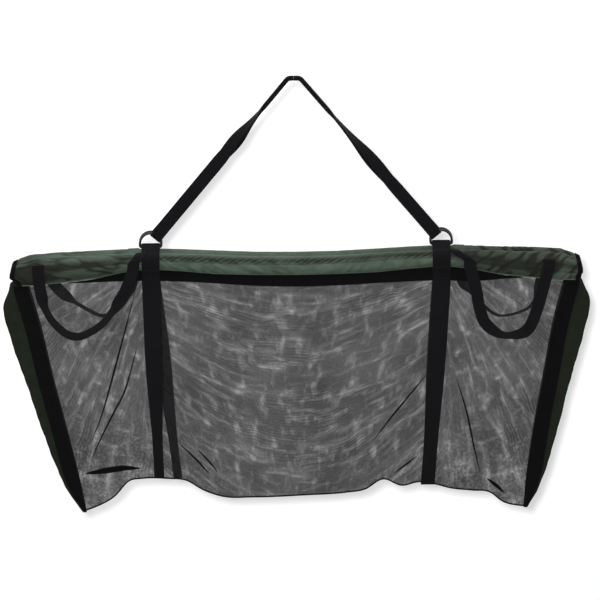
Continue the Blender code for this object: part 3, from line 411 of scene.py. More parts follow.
@dataclass(frozen=True)
class OpenNet(Finish):
    """Knotless nylon net: black threads round open holes, so that two layers show moire over white."""

    hole_mm: float = 4.2
    cover: float = 0.72
    thread: float = 0.05
    arc_mm: float = 6.3

    def detail(self, tree: Tree) -> dict[str, Socket]:
        """Cover of the net: threads, light streaks of moire, bundles of fine arcs, grain and creases.

        Args:
            tree: Node tree of the material.

        Returns:
            Source of each shader input.
        """
        # Holes are drawn about three times as wide as on real net, so that they show
        threads = weave(tree, self.hole_mm, self.hole_mm)
        closed = {"operation": "MULTIPLY_ADD", 1: self.thread, 2: self.cover}
        cover = add_node(tree, "Math", closed, {0: threads})
        sweep, beat, grain, crease = (
            add_node(tree, "Attribute", {"attribute_name": name}).outputs["Fac"]
            for name in ("sweep", "beat", "grain", "crease")
        )
        place = (sweep, beat)
        streaks = self.cloud(tree, place, size=(75.0, 15.0), levels=(0.50, 0.74), gain=0.3)
        blobs = self.cloud(tree, place, size=(24.0, 42.0), levels=(0.52, 0.76), gain=0.34)
        light = add_node(tree, "Math", {"operation": "MAXIMUM"}, {0: streaks, 1: blobs})
        cover = add_node(tree, "Math", {"operation": "SUBTRACT"}, {0: cover, 1: light})
        drift = self.cloud(tree, place, size=(40.0, 30.0), levels=(0.2, 0.8), gain=4.0)
        turn = math.tau / self.arc_mm
        turns = add_node(tree, "Math", {"operation": "MULTIPLY_ADD", 1: turn}, {0: beat, 2: drift})
        arcs = add_node(tree, "Math", {"operation": "SINE"}, {0: turns})
        bundles = self.cloud(tree, place, size=(260.0, 55.0), levels=(0.5, 0.7), gain=0.08)
        cover = add_node(tree, "Math", {"operation": "MULTIPLY_ADD"}, {0: arcs, 1: bundles, 2: cover})
        specks = self.cloud(tree, place, size=(5.0, 5.0), levels=(0.35, 0.65), gain=1.0)
        grain = add_node(tree, "Math", {"operation": "MULTIPLY"}, {0: specks, 1: grain})
        cover = add_node(tree, "Math", {"operation": "SUBTRACT"}, {0: cover, 1: grain})
        folded = add_node(tree, "Math", {"operation": "ADD", "use_clamp": True}, {0: cover, 1: crease})
        return {"Alpha": folded.outputs[0]}

    def cloud(self, tree: Tree, place: tuple[Socket, Socket], size: Flat, levels: Flat, gain: float) -> Node:
        """Noise drawn out along the sweep of the moire.

        Args:
            tree: Node tree of the material.
            place: Places along the sweep and across it, in millimetres.
            size: Size of a patch along the sweep and across it, in millimetres.
            levels: Noise values that give 0 and the full result.
            gain: The full result.

        Returns:
            Node that gives 0 to the gain.
        """
        x, y = (
            add_node(tree, "Math", {"operation": "MULTIPLY", 1: 1 / size_mm}, {0: socket})
            for socket, size_mm in zip(place, size)
        )
        spot = add_node(tree, "CombineXYZ", {2: size[0] * 0.37}, {0: x, 1: y})
        soft = {"Scale": 1.0, "Detail": 2.0, "Roughness": 0.5}
        patches = add_node(tree, "TexNoise", soft, {"Vector": spot})
        low, high = levels
        spread = {"interpolation_type": "SMOOTHSTEP", "From Min": low, "From Max": high, "To Max": gain}
        return add_node(tree, "MapRange", spread, {0: patches})


@dataclass(frozen=True)
class MouldedBody(Finish):
    """Plain moulded or extruded body, such as foam or glass fibre, with a fine grain."""

    grain_mm: float = 1.0

    def detail(self, tree: Tree) -> dict[str, Socket]:
        """Fine grain in the surface."""
        grain = self.patches(tree, Scale=1000 / self.grain_mm / 2, Detail=3.0)
        return {"Normal": add_node(tree, "Bump", self.relief, {"Height": grain}).outputs[0]}


@dataclass(frozen=True)
class EnamelledWire(Finish):
    """Steel wire under black enamel: smooth and glossy, with a faint orange peel."""

    relief_mm: float = 0.05
    relief_shown: float = 0.4

    def detail(self, tree: Tree) -> dict[str, Socket]:
        """Shallow orange peel in the enamel."""
        peel = self.patches(tree, Scale=900.0, Detail=2.0)
        return {"Normal": add_node(tree, "Bump", self.relief, {"Height": peel}).outputs[0]}


# Woven of black polypropylene: dull, with faint ribs and rubbed grey yarns
WEBBING = PolypropyleneWebbing("black_polypropylene_webbing", "#0c0c0e", 0.8, sheen=0.03, specular=0.06)
# Woven finer, of black polyester: darker than the webbing and nearly without shine
BINDING = PolypropyleneWebbing(
    "black_polyester_binding", "#0b0b0d", 0.85, sheen=0.01, specular=0.04,
    rib_mm=1.8, yarn_mm=1.2, worn="#151517",
)  # fmt: skip
# Woven plain and coated on its back: soft green, with a faint sheen on its folds
SLEEVE_CLOTH = CoatedPolyester("green_coated_polyester", "#556356", 0.65, sheen=0.04, specular=0.14)
# The same cloth folded double: flatter and a little lighter
HEM_CLOTH = CoatedPolyester(
    "green_polyester_hem", "#526152", 0.62, sheen=0.04, specular=0.14, crease="#465346", light="#647464"
)
# The same cloth with the shade of the bag's ends painted in: nearly black green
GUSSET_CLOTH = CoatedPolyester(
    "dark_green_coated_polyester", "#1e241b", 0.7, sheen=0.02, specular=0.06,
    crease="#161b13", light="#293025", soiled="#181d14",
)  # fmt: skip
# Knotless black net: grey over white, with moire where two layers meet
NET = OpenNet("black_nylon_net", "#222224", 0.85, specular=0.2)
# The net doubled in a fold, drawn closed and black: doubled net with the shade in the fold painted in
NET_FOLD_AND_SHADE = PolypropyleneWebbing(
    "black_nylon_net_doubled", "#08080a", 0.85, specular=0.05, rib_mm=2.6, yarn_mm=2.6, worn="#131315"
)
# Spun polyester thread: small dark grey stitches
STITCHING = MouldedBody("black_polyester_thread", "#232327", 0.6, specular=0.3, grain_mm=0.6)
# Bent steel wire in black enamel: smooth, with small sharp highlights
ENAMEL = EnamelledWire("black_enamelled_wire", "#151517", 0.3)
# Moulded nylon: plain black with a soft shine
ZIP_TEETH = MouldedBody("black_nylon_zip", "#151516", 0.5)
# Die-cast zinc in black lacquer: dark, with a glint of metal
ZIP_METAL = EnamelledWire("black_lacquered_zinc", "#1c1c1e", 0.35, metallic=0.6)
# Extruded closed-cell foam: mid grey and dull
FOAM = MouldedBody("grey_closed_cell_foam", "#8d8e90", 0.9, grain_mm=1.5)
# Drawn glass fibre: black with a dull shine
POLE = MouldedBody("black_glass_fibre_rod", "#202022", 0.4, grain_mm=0.8, relief_mm=0.05)
# Drawn aluminium: light grey metal with a soft grain
FERRULE = MouldedBody("drawn_aluminium_tube", "#b9babc", 0.35, metallic=1.0, grain_mm=0.8, relief_mm=0.03)


@dataclass
class Surface:
    """Points and faces of a piece in millimetres, with numbers that each point carries."""

    points: list[Sequence[float]] = field(default_factory=list)
    faces: list[tuple[int, ...]] = field(default_factory=list)
    numbers: dict[str, list[float]] = field(default_factory=dict)

    def add_grid(self, rows: Sequence[Sequence], closed: bool = False, flip: bool = False) -> int:
        """Add a grid of points with a quad in each cell.

        Args:
            rows: Rows of points, all of one length.
            closed: Whether each row joins its own end.
            flip: Whether the faces turn the other way.

        Returns:
            Number of the grid's first point.
        """
        start, count = len(self.points), len(rows[0])
        for row in rows:
            self.points.extend(row)
        for first in range(start, start + count * (len(rows) - 1), count):
            for i in range(count if closed else count - 1):
                a, b = first + i, first + (i + 1) % count
                quad = (a, b, b + count, a + count)
                self.faces.append(quad[::-1] if flip else quad)
        return start

    def add_bar(self, rings: Sequence[Sequence], open_start: bool = False) -> None:
        """Add rings of points, each joined to the next, and close the bar's ends.

        Args:
            rings: Rings of points, all of one length.
            open_start: Whether its first end stays open.
        """
        start, count = self.add_grid(rings, closed=True), len(rings[0])
        if not open_start:
            self.faces.append(tuple(range(start + count - 1, start - 1, -1)))
        self.faces.append(tuple(range(len(self.points) - count, len(self.points))))

    def carry(self, **numbers: Sequence[float]) -> None:
        """Add numbers for the points added last, by attribute name."""
        for name, values in numbers.items():
            self.numbers.setdefault(name, []).extend(float(value) for value in values)

    def mesh_object(
        self, name: str, finish: Finish, solid: bool = True, weld: bool = False, smooth_angle: float = 50.0
    ) -> bpy.types.Object:
        """Make the object in the scene.

        Args:
            name: Name of the object.
            finish: What it is made of.
            solid: Whether it is a closed body, whose faces all look outward.
            weld: Whether coinciding points are joined.
            smooth_angle: Angle in degrees above which an edge stays sharp.

        Returns:
            The new object, in metres.
        """
        mesh = bpy.data.meshes.new(name)
        mesh.from_pydata([Vector(point) * MM for point in self.points], [], self.faces)
        for label, values in self.numbers.items():
            attribute = mesh.attributes.new(label, "FLOAT", "POINT")
            attribute.data.foreach_set("value", np.array(values, np.float32))
        mesh.shade_smooth()
        mesh.set_sharp_from_angle(angle=math.radians(smooth_angle))
        mesh.materials.append(finish.material())
        made = bpy.data.objects.new(name, mesh)
        bpy.context.scene.collection.objects.link(made)
        if solid:
            bm = bmesh.new()
            bm.from_mesh(mesh)
            if weld:
                bmesh.ops.remove_doubles(bm, verts=bm.verts, dist=1e-6)
            bmesh.ops.recalc_face_normals(bm, faces=bm.faces)
            bm.to_mesh(mesh)
            bm.free()
        return made


def settle(
    piece: bpy.types.Object,
    body: str,
    nodes: Sequence[str] = (),
    bend: tuple[Point, Point] | None = None,
) -> None:
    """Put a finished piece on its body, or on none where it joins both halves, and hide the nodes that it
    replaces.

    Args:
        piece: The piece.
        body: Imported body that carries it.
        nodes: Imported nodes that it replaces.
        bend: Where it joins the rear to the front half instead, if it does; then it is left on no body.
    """
    if bend:
        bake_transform(piece)
    else:
        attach(piece, body)
    if nodes:
        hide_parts(*nodes)
    LOG.info("%s %s", piece.name, "bends between the halves" if bend else f"rides on {body}")


def settle_low(piece: bpy.types.Object, half: Half, nodes: Sequence[str] = ()) -> None:
    """Settle a piece that reaches the bag's foot; the front's is left on no body."""
    settle(piece, half.body, nodes, FOOT_BEND if half is Half.FRONT else None)


@dataclass(frozen=True)
class SlingForm:
    """Sizes and outlines that the pieces share, in millimetres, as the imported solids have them."""

    half_length: float = 600.0
    strap_x: float = 305.0
    strap_drop: float = 350.0
    bag_depth: float = 490.0
    sleeve_y: float = 24.0
    sleeve_radius: float = 18.0
    sleeve_below_bar: float = 28.3
    cap_length: float = 15.0
    seat_half: float = 22.0
    binding: float = 1.2
    binding_drop: float = 39.0
    panel: float = 1.5
    belly: float = 21.0
    foot_y: float = 1.6
    fold_depth: float = 5.0
    fold_count: float = 3.5
    corner_inset: float = 144.0
    foot_rise: float = 72.0
    hang_drift: float = 13.0
    webbing: float = 1.8
    girth_width: float = 38.0
    bar_y: float = 10.0
    ring_wire: float = 5.0
    side_rise: float = 0.0155
    edge_start: float = 1.3
    edge_stop: float = 2.0
    sleeve_middle: tuple = (
        (0.0, 0.556, 0.778, 0.0), (0.3, 0.5, 0.722, 0.0), (0.6, 0.278, 0.556, 0.0), (0.85, 0.083, 0.167, 0.0),
    )  # fmt: skip
    sleeve_outer: tuple = (
        (0.15, 0.028, 0.278, 0.0), (0.36, 0.139, 0.944, 0.0), (0.67, 0.3, 1.5, 0.0), (0.9, 0.5, 1.778, 0.056),
        (1.0, 0.95, 1.778, 0.111),
    )  # fmt: skip
    sleeve_end: tuple = (1.45, 1.667, 0.222)
    binding_line: Line = (
        (-500.0, -423.0), (-441.0, -421.7), (-330.0, -419.0), (-217.0, -423.0), (-110.0, -431.0),
        (-24.0, -435.0), (80.0, -434.0), (200.0, -428.5), (300.0, -425.5), (386.0, -427.5), (436.0, -423.5),
        (500.0, -421.5),
    )  # fmt: skip
    row_line: Line = (
        (-600.0, 66.0), (-507.0, 61.0), (-427.0, 58.0), (-345.0, 58.0), (-265.0, 51.0), (0.0, 50.0),
        (267.0, 49.0), (366.0, 68.0), (488.0, 84.0), (600.0, 84.0),
    )  # fmt: skip
    band_line: Line = ((0.0, 0.257), (0.15, 0.396), (0.41, 0.576), (0.68, 0.77), (0.91, 0.91), (1.0, 0.95))
    leaf_line: Line = (
        (0.0, -0.021), (0.07, -0.118), (0.22, -0.035), (0.42, 0.167), (0.635, 0.37), (0.78, 0.525),
        (0.91, 0.7), (1.0, 0.89),
    )  # fmt: skip
    foot_line: Line = (
        (-1.0, 0.07), (-0.946, 0.2), (-0.865, 0.5), (-0.8, 0.95), (-0.742, 1.02), (-0.62, 1.01),
        (-0.54, 0.95), (-0.459, 0.643), (-0.378, 0.457), (-0.23, 0.42), (0.0, 0.465), (0.19, 0.533),
        (0.272, 0.616), (0.356, 0.92), (0.44, 0.72), (0.517, 0.82), (0.598, 0.74), (0.66, 0.63),
        (0.762, 0.55), (0.844, 0.48), (0.9, 0.2), (0.963, 0.084), (1.0, 0.055),
    )  # fmt: skip

    @property
    def bar_z(self) -> float:
        """Height of the D-rings' bars."""
        return -self.strap_drop

    @property
    def sleeve_z(self) -> float:
        """Height of the sleeves' middle line at the strap seats."""
        return self.bar_z - self.sleeve_below_bar

    @property
    def bag_top_z(self) -> float:
        """Height of the mesh's upper edge."""
        return self.sleeve_z - self.sleeve_radius - self.binding_drop

    @property
    def corner_z(self) -> float:
        """Height of the bag's lower corners."""
        return self.bag_top_z - self.bag_depth

    @cached_property
    def sleeve_stations(self) -> np.ndarray:
        """Columns of half a sleeve: place along it, then how far crest, underside and half depth fall short.

        Returns:
            One row each for the place and the three shortfalls.
        """
        seat_in, seat_out = self.strap_x - self.seat_half, self.strap_x + self.seat_half
        outer = self.half_length - self.cap_length - seat_out
        stations = [(share * seat_in, *drops) for share, *drops in self.sleeve_middle]
        stations += [(seat_in, 0.0, 0.0, 0.0), (seat_out, 0.0, 0.0, 0.0)]
        stations += [(seat_out + share * outer, *drops) for share, *drops in self.sleeve_outer]
        stations.append((self.half_length, *self.sleeve_end))
        return np.array([(x, *(self.sleeve_radius * drop for drop in drops)) for x, *drops in stations]).T

    def sleeve_shape(self, x: float) -> Point:
        """Outline of a sleeve at a place along it.

        Args:
            x: Place along the sling.

        Returns:
            Crest height, underside height and half depth.
        """
        spots, *drops = self.sleeve_stations
        crest, under, narrow = (float(np.interp(abs(x), spots, drop)) for drop in drops)
        radius = self.sleeve_radius
        return self.sleeve_z + radius - crest, self.sleeve_z - radius - under, radius - narrow

    def sleeve_point(self, half: Half, x: float, angle: float, lift: float = 0.0) -> Point:
        """Point on a sleeve.

        Args:
            half: Which sleeve.
            x: Place along it.
            angle: Degrees from the crest towards the outside.
            lift: Distance off the cloth.

        Returns:
            The point.
        """
        crest, under, depth = self.sleeve_shape(x)
        height = (crest - under) / 2
        turn = math.radians(angle)
        normal = Vector((math.sin(turn) / depth, math.cos(turn) / height)).normalized()
        out = self.sleeve_y + depth * math.sin(turn) + lift * normal[0]
        return (x, half.value * out, (crest + under) / 2 + height * math.cos(turn) + lift * normal[1])

    def edge_x(self, side: Side, line: Line, depth: float) -> float:
        """X of a side outline of the bag, given as shares of its depth and of its corner's inset."""
        inset = self.corner_inset * eased(line, depth)
        return side.value * (self.half_length - inset) + self.hang_drift * depth**2

    def edge_z(self, depth: float) -> float:
        """Height of the bag's side edges at a share of its depth."""
        top, bottom = self.bag_top_z - self.edge_start, self.corner_z + self.edge_stop
        return top + depth * (bottom - top)

    def mesh_under(self, side: Side, depth: float) -> float:
        """How far the mesh reaches under its side band."""
        inner, outer = (self.edge_x(side, line, depth) for line in (self.band_line, self.leaf_line))
        return min(12.0, 0.3 * abs(outer - inner))

    def foot_z(self, share: float) -> float:
        """Height of the bag's lower edge at a share of its half width."""
        return self.corner_z + self.foot_rise * eased(self.foot_line, share)

    def panel_point(self, half: Half, share: float, depth: float) -> Point:
        """Point of a mesh panel.

        Args:
            half: Which panel.
            share: Place across it, from -1 at its left edge to 1 at its right.
            depth: Place down it, from 0 at the binding to 1 at the lower edge.

        Returns:
            The point.
        """
        left, right = (
            self.edge_x(side, self.band_line, depth) + side.value * self.mesh_under(side, depth)
            for side in Side
        )
        plain = self.sleeve_y - self.binding / 2 - GAP - self.panel / 2
        phase = 0.0 if half is Half.FRONT else 1.7
        fold = 0.5 + 0.5 * math.sin(math.pi * self.fold_count * share + 2.6 * depth + phase)
        swell = math.sin(math.pi * depth) * (1 - abs(share) ** 6) * (self.belly + self.fold_depth * fold)
        out = self.foot_y + (plain - self.foot_y) * (1 - depth) + swell
        height = self.bag_top_z + depth * (self.foot_z(share) - self.bag_top_z)
        return (left + (right - left) * (share + 1) / 2, half.value * out, height)


FORM = SlingForm()


@dataclass
class Strip:
    """Webbing or tape swept through sections, with its woven faces measured for the weave."""

    name: str
    finish: Finish
    thickness: float
    sections: list[Section] = field(default_factory=list)

    def add(self, centre: Vector, across: Vector, normal: Vector, width: float) -> None:
        """Add a section of the strip's own thickness."""
        self.sections.append((centre, across, normal, width, self.thickness))

    def build(self) -> bpy.types.Object:
        """Sweep the strip and make its object.

        Returns:
            The object.
        """
        # Outline as shares of half the width and thickness, with rounded edges and a woven face
        upper = ((-1.0, 0.0), (-0.97, 0.75), (-0.9, 1.0), (-0.4, 0.94), (0.0, 1.0))
        upper += tuple((-u, v) for u, v in reversed(upper[:-1]))
        outline = [*upper, *((u, -v) for u, v in reversed(upper[1:-1]))]
        made = Surface()
        made.add_bar(
            [
                [centre + across * (u * width / 2) + normal * (v * thick / 2) for u, v in outline]
                for centre, across, normal, width, thick in self.sections
            ]
        )
        lengths = lengths_along([section[0] for section in self.sections])
        made.carry(
            along=[length for length in lengths for _ in outline],
            across=[u * section[3] / 2 for section in self.sections for u, _ in outline],
        )
        return made.mesh_object(self.name, self.finish)


@dataclass
class Thread:
    """Stitches of one sewn region, gathered into one piece that rides with the cloth."""

    body: str
    pitch: float = 3.6
    length: float = 2.5
    radius: float = 0.28
    end_share: float = 0.35
    height_share: float = 1.4
    made: Surface = field(default_factory=Surface)

    def run(self, points: Sequence[Vector], normals: Sequence[Vector]) -> None:
        """Sew along a line.

        Args:
            points: Line on the cloth's face.
            normals: Direction in which the face looks at each point.
        """
        lengths = lengths_along(points)
        at = self.pitch / 2
        while at + self.length < lengths[-1]:
            ends = [
                (vector_at(place, lengths, points), vector_at(place, lengths, normals).normalized())
                for place in (at, at + self.length / 2, at + self.length)
            ]
            heading = (ends[2][0] - ends[0][0]).normalized()
            rows = []
            for (spot, normal), swell in zip(ends, (self.end_share, 1.0, self.end_share)):
                beside = heading.cross(normal).normalized()
                size = self.radius * swell
                crest = spot + normal * size * self.height_share
                rows.append([spot + beside * size, crest, spot - beside * size])
            self.made.add_grid(rows)
            self.made.carry(along=[at] * 9, across=[0.0] * 9)
            at += self.pitch

    def box(self, corner: Callable[[float, float], tuple[Vector, Vector]], cross: bool = True) -> None:
        """Sew a box, with a cross in it, as bar-tacked webbing has.

        Args:
            corner: Point and normal of the face at a share across and along, each from 0 to 1.
            cross: Whether its diagonals are sewn too.
        """
        lines = [((0, 0), (1, 0)), ((1, 0), (1, 1)), ((1, 1), (0, 1)), ((0, 1), (0, 0))]
        lines += [((0, 0), (1, 1)), ((1, 0), (0, 1))] if cross else []
        for (u0, v0), (u1, v1) in lines:
            spots, normals = zip(*(corner(u0 + (u1 - u0) * t, v0 + (v1 - v0) * t) for t in spaced(0, 1, 7)))
            self.run(spots, normals)

    def build(self) -> None:
        """Make the stitching's object."""
        settle(self.made.mesh_object(f"{self.body}_stitching", STITCHING, solid=False), self.body)


@dataclass(frozen=True)
class ClothSpot:
    """How a sleeve's cloth lies at a place along it and degrees from its crest towards the outside."""

    half: Half
    x: float
    angle: float
    gather_mm: float = 15.0
    pucker: float = 2.8

    @cached_property
    def off(self) -> float:
        """Degrees below the row of small folds that the sewn cloth draws along the sleeve."""
        return (self.angle - eased(FORM.row_line, self.x) + 180) % 360 - 180

    @cached_property
    def gathered(self) -> float:
        """How deep the cloth is gathered in the row of small slanting folds.

        Returns:
            0 for smooth cloth to 1 in the bottom of a fold.
        """
        shift = 2.4 * ripple(self.x, 0, self.half.value * 40, size=70)
        folds = 0.5 + 0.5 * math.sin(math.tau * (self.x + 0.55 * self.off) / self.gather_mm + shift)
        swings = ripple(self.x, 70, self.half.value * 30, size=110, depth=1)
        lively = 0.4 + 0.6 * smoothstep(-0.3, 0.25, swings)
        inner = 1 - 0.75 * smoothstep(300, 350, abs(self.x))
        return folds * lively * inner * math.exp(-((abs(self.off + 1) / 21) ** 3))

    @cached_property
    def wrinkled(self) -> float:
        """Depth of the long wrinkles, which lie flat at the left, fall in the middle and rise to the right.

        Returns:
            Depth in millimetres.
        """
        x, arc = self.x, 0.34 * self.angle
        below = smoothstep(-12, 12, self.off)
        # Slope in degrees and height of each kind
        kinds = (
            (6.0, 2.4 * smoothstep(-290, -360, x)),
            (38.0, 1.7 * smoothstep(-350, -280, x) * smoothstep(90, -60, x) * (0.3 + 0.7 * below)),
            (-44.0, 1.1 * smoothstep(-80, 90, x) * smoothstep(400, 300, x) * (0.4 + 0.6 * below)),
            (-40.0, 3.2 * smoothstep(300, 400, x)),
        )
        depth = 0.0
        for number, (slope, height) in enumerate(kinds):
            if height > 0:
                turn = math.radians(slope)
                along = x * math.cos(turn) + arc * math.sin(turn)
                beside = arc * math.cos(turn) - x * math.sin(turn)
                layer = self.half.value * 90 + number * 37
                valley = abs(ripple(along / 3.4, beside, layer, size=21, depth=2))
                depth += height * max(0.0, 1 - 3.2 * valley)
        return depth

    @property
    def drawn_in(self) -> float:
        """How far the sleeve's end is drawn inward at its crest and below its middle.

        Returns:
            Distance in millimetres.
        """
        upright = math.cos(math.radians(self.angle))
        low, high = (14.0, 5.0) if self.x < 0 else (5.0, 4.0)
        pulled = high * max(0.0, upright) ** 2 + low * smoothstep(0.05, 0.6, -upright)
        return pulled * smoothstep(520, FORM.half_length, abs(self.x))

    @property
    def point(self) -> Point:
        """Point of the wrinkled cloth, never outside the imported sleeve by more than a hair.

        Returns:
            The point.
        """
        groove = 1.3 * math.exp(-(((self.off - 22) / 4) ** 2)) + 1.2 * math.exp(-((self.off / 12) ** 2))
        from_crest = (self.angle + 180) % 360 - 180
        calm = 1 - 0.7 * math.exp(-((from_crest / 28) ** 2))
        quiet = 1 - 0.85 * math.exp(-(((abs(self.x) - FORM.strap_x) / 24) ** 2))
        depth = groove + self.pucker * self.gathered + self.wrinkled * calm
        _, y, z = FORM.sleeve_point(self.half, self.x, self.angle, -depth * quiet)
        return (self.x - math.copysign(self.drawn_in, self.x), y, z)

    @property
    def shade(self) -> float:
        """How much painted shade darkens the cloth in its folds, gathered row and upper side, and how much
        darker it is towards the ends.

        Returns:
            0 for the cloth's own colour to 1 for the darkest.
        """
        x, off = self.x, self.off
        # Painted shade in the gathered row, in the groove below it and in its small folds
        row = 0.38 * math.exp(-((off / 20) ** 2)) + 0.32 * math.exp(-(((off - 23) / 4.5) ** 2))
        row += 0.8 * self.gathered
        below = smoothstep(-14, 14, off)
        # Painted shade in the wrinkles' valleys, and on the cloth above the row, more towards the right
        above = 0.12 + 0.28 * smoothstep(80, 330, x)
        folds = 0.22 * self.wrinkled + above * (1 - below)
        # Darker towards the ends, most below the row, and a little right of the middle
        left = smoothstep(-310, -420, x) * 0.62 * below + smoothstep(-480, -580, x) * 0.35
        right = smoothstep(310, 370, x) * (0.14 + 0.44 * below) * smoothstep(600, 470, x)
        right += 0.08 * smoothstep(20, 160, x)
        uneven = 0.12 * ripple(x, self.angle, 0, size=60)
        return max(0.0, min(1.0, row + folds + left + right + uneven))


@dataclass
class FloatSleeve:
    """Green sleeve of one half: cloth tube with its gathered row and wrinkles, bound ends, floats and hem."""

    half: Half
    around: int = 64
    pitch: float = 2.8
    cap_shown: float = 9.0
    hem_width: float = 4.2
    hem_thickness: float = 0.7
    float_radius: float = 11.0
    float_start: float = 48.0
    float_short: float = 70.0
    pole_bore: float = 5.3

    @property
    def turns(self) -> list[float]:
        """Angles of the points round the sleeve, in degrees from the crest towards the outside."""
        return [360 * i / self.around for i in range(self.around)]

    def build_cloth(self) -> None:
        """Make the tube of cloth."""
        reach = FORM.half_length - 0.5
        places = spaced(-reach, reach, int(2 * reach / self.pitch))
        rows = [[ClothSpot(self.half, x, turn) for turn in self.turns] for x in places]
        spots = [spot for row in rows for spot in row]
        made = Surface()
        points = [[spot.point for spot in row] for row in rows]
        made.add_grid(points, closed=True, flip=self.half is Half.REAR)
        made.carry(
            along=[spot.x for spot in spots],
            across=[0.314 * spot.angle for spot in spots],
            # The tint carries the painted shade of folds and the darker ends
            tint=[spot.shade for spot in spots],
        )
        piece = made.mesh_object(f"{self.half.label}_sleeve_cloth", SLEEVE_CLOTH)
        settle(piece, self.half.body, [f"{self.half.label}_sleeve"])

    def build_hem(self) -> None:
        """Make the lighter topstitched hem along the sleeve's lower edge."""
        reach = FORM.half_length - self.cap_shown - 2
        strip = Strip(f"{self.half.label}_sleeve_hem", HEM_CLOTH, self.hem_thickness)
        for x in spaced(-reach, reach, 240):
            angles = (146, 152, 158)
            low, mid, high = (Vector(FORM.sleeve_point(self.half, x, angle, -0.2)) for angle in angles)
            mid[0] -= math.copysign(ClothSpot(self.half, x, 152).drawn_in, x)
            normal = ALONG.cross(high - low).normalized() * self.half.value
            strip.add(mid, (high - low).normalized(), normal, self.hem_width)
        settle(strip.build(), self.half.body)

    def build_cap(self, side: Side) -> None:
        """Make a bound end, gathered over the sleeve's last stretch.

        Args:
            side: Which end.
        """
        end, start = FORM.half_length, FORM.half_length - self.cap_shown
        # Place along the sleeve and lift off it
        profile = [(start, 0.6), (start - 0.1, 1.4), (start + 1.2, 1.9), (start + 4, 1.5)]
        profile += [(end - 1.5, 1.8), (end + 0.9, 0.9)]
        rows = []
        for x, lift in profile:
            ring = []
            for turn in self.turns:
                gather = 0.7 * math.sin(math.radians(11 * turn)) * smoothstep(start, end, x)
                spot = ClothSpot(self.half, side.value * min(x, end), turn)
                _, y, z = FORM.sleeve_point(self.half, spot.x, turn, lift + gather)
                ring.append((side.value * (x - spot.drawn_in), y, z))
            rows.append(ring)
        crest, under, _ = FORM.sleeve_shape(end)
        middle = (self.half.value * FORM.sleeve_y, (crest + under) / 2)
        for shrink, bulge in ((0.93, 1.4), (0.6, 1.5), (0.2, 1.2)):
            ring = []
            for turn, (_, y, z) in zip(self.turns, rows[len(profile) - 1]):
                drawn = ClothSpot(self.half, side.value * end, turn).drawn_in * shrink
                y, z = (centre + (value - centre) * shrink for centre, value in zip(middle, (y, z)))
                ring.append((side.value * (end + bulge - drawn), y, z))
            rows.append(ring)
        made = Surface()
        made.add_bar(rows, open_start=True)
        made.carry(
            along=[2.0 * i for _ in rows for i in range(self.around)],
            across=[abs(row[0][0]) for row in rows for _ in row],
        )
        piece = made.mesh_object(f"{self.half.label}_sleeve_end_{side.label}", BINDING)
        settle(piece, self.half.body, [f"{self.half.label}_sleeve_cap_{side.label}"])

    def build_float(self, side: Side) -> None:
        """Make a foam float with its rounded ends.

        Args:
            side: Which end of the sling.
        """
        radius, bore = self.float_radius, self.pole_bore
        rest_on = FORM.sleeve_radius * math.cos(math.pi / 14) - 1.0 - GAP
        axis_z = FORM.sleeve_z - (rest_on - radius)
        start, end = self.float_start, FORM.half_length - self.float_short
        profile = [(start + 2, bore), (start, bore + 1.5), (start, radius - 1.5), (start + 1.5, radius)]
        profile += [(x, radius) for x in spaced(start + 20, end - 20, 12)]
        profile += [(end - 1.5, radius), (end, radius - 1.5), (end, bore + 1.5), (end - 2, bore)]
        axis_y, turns = self.half.value * FORM.sleeve_y, spaced(0, math.tau, 25)[:-1]
        rings = [
            [(side.value * x, axis_y + out * math.sin(t), axis_z + out * math.cos(t)) for t in turns]
            for x, out in [*profile, profile[0]]
        ]
        made = Surface()
        made.add_grid(rings, closed=True)
        piece = made.mesh_object(f"{self.half.label}_foam_float_{side.label}", FOAM, weld=True)
        settle(piece, self.half.body, [f"{self.half.label}_float_{side.label}"])

    def build(self) -> None:
        """Make the whole sleeve."""
        self.build_cloth()
        self.build_hem()
        for side in Side:
            self.build_cap(side)
            self.build_float(side)


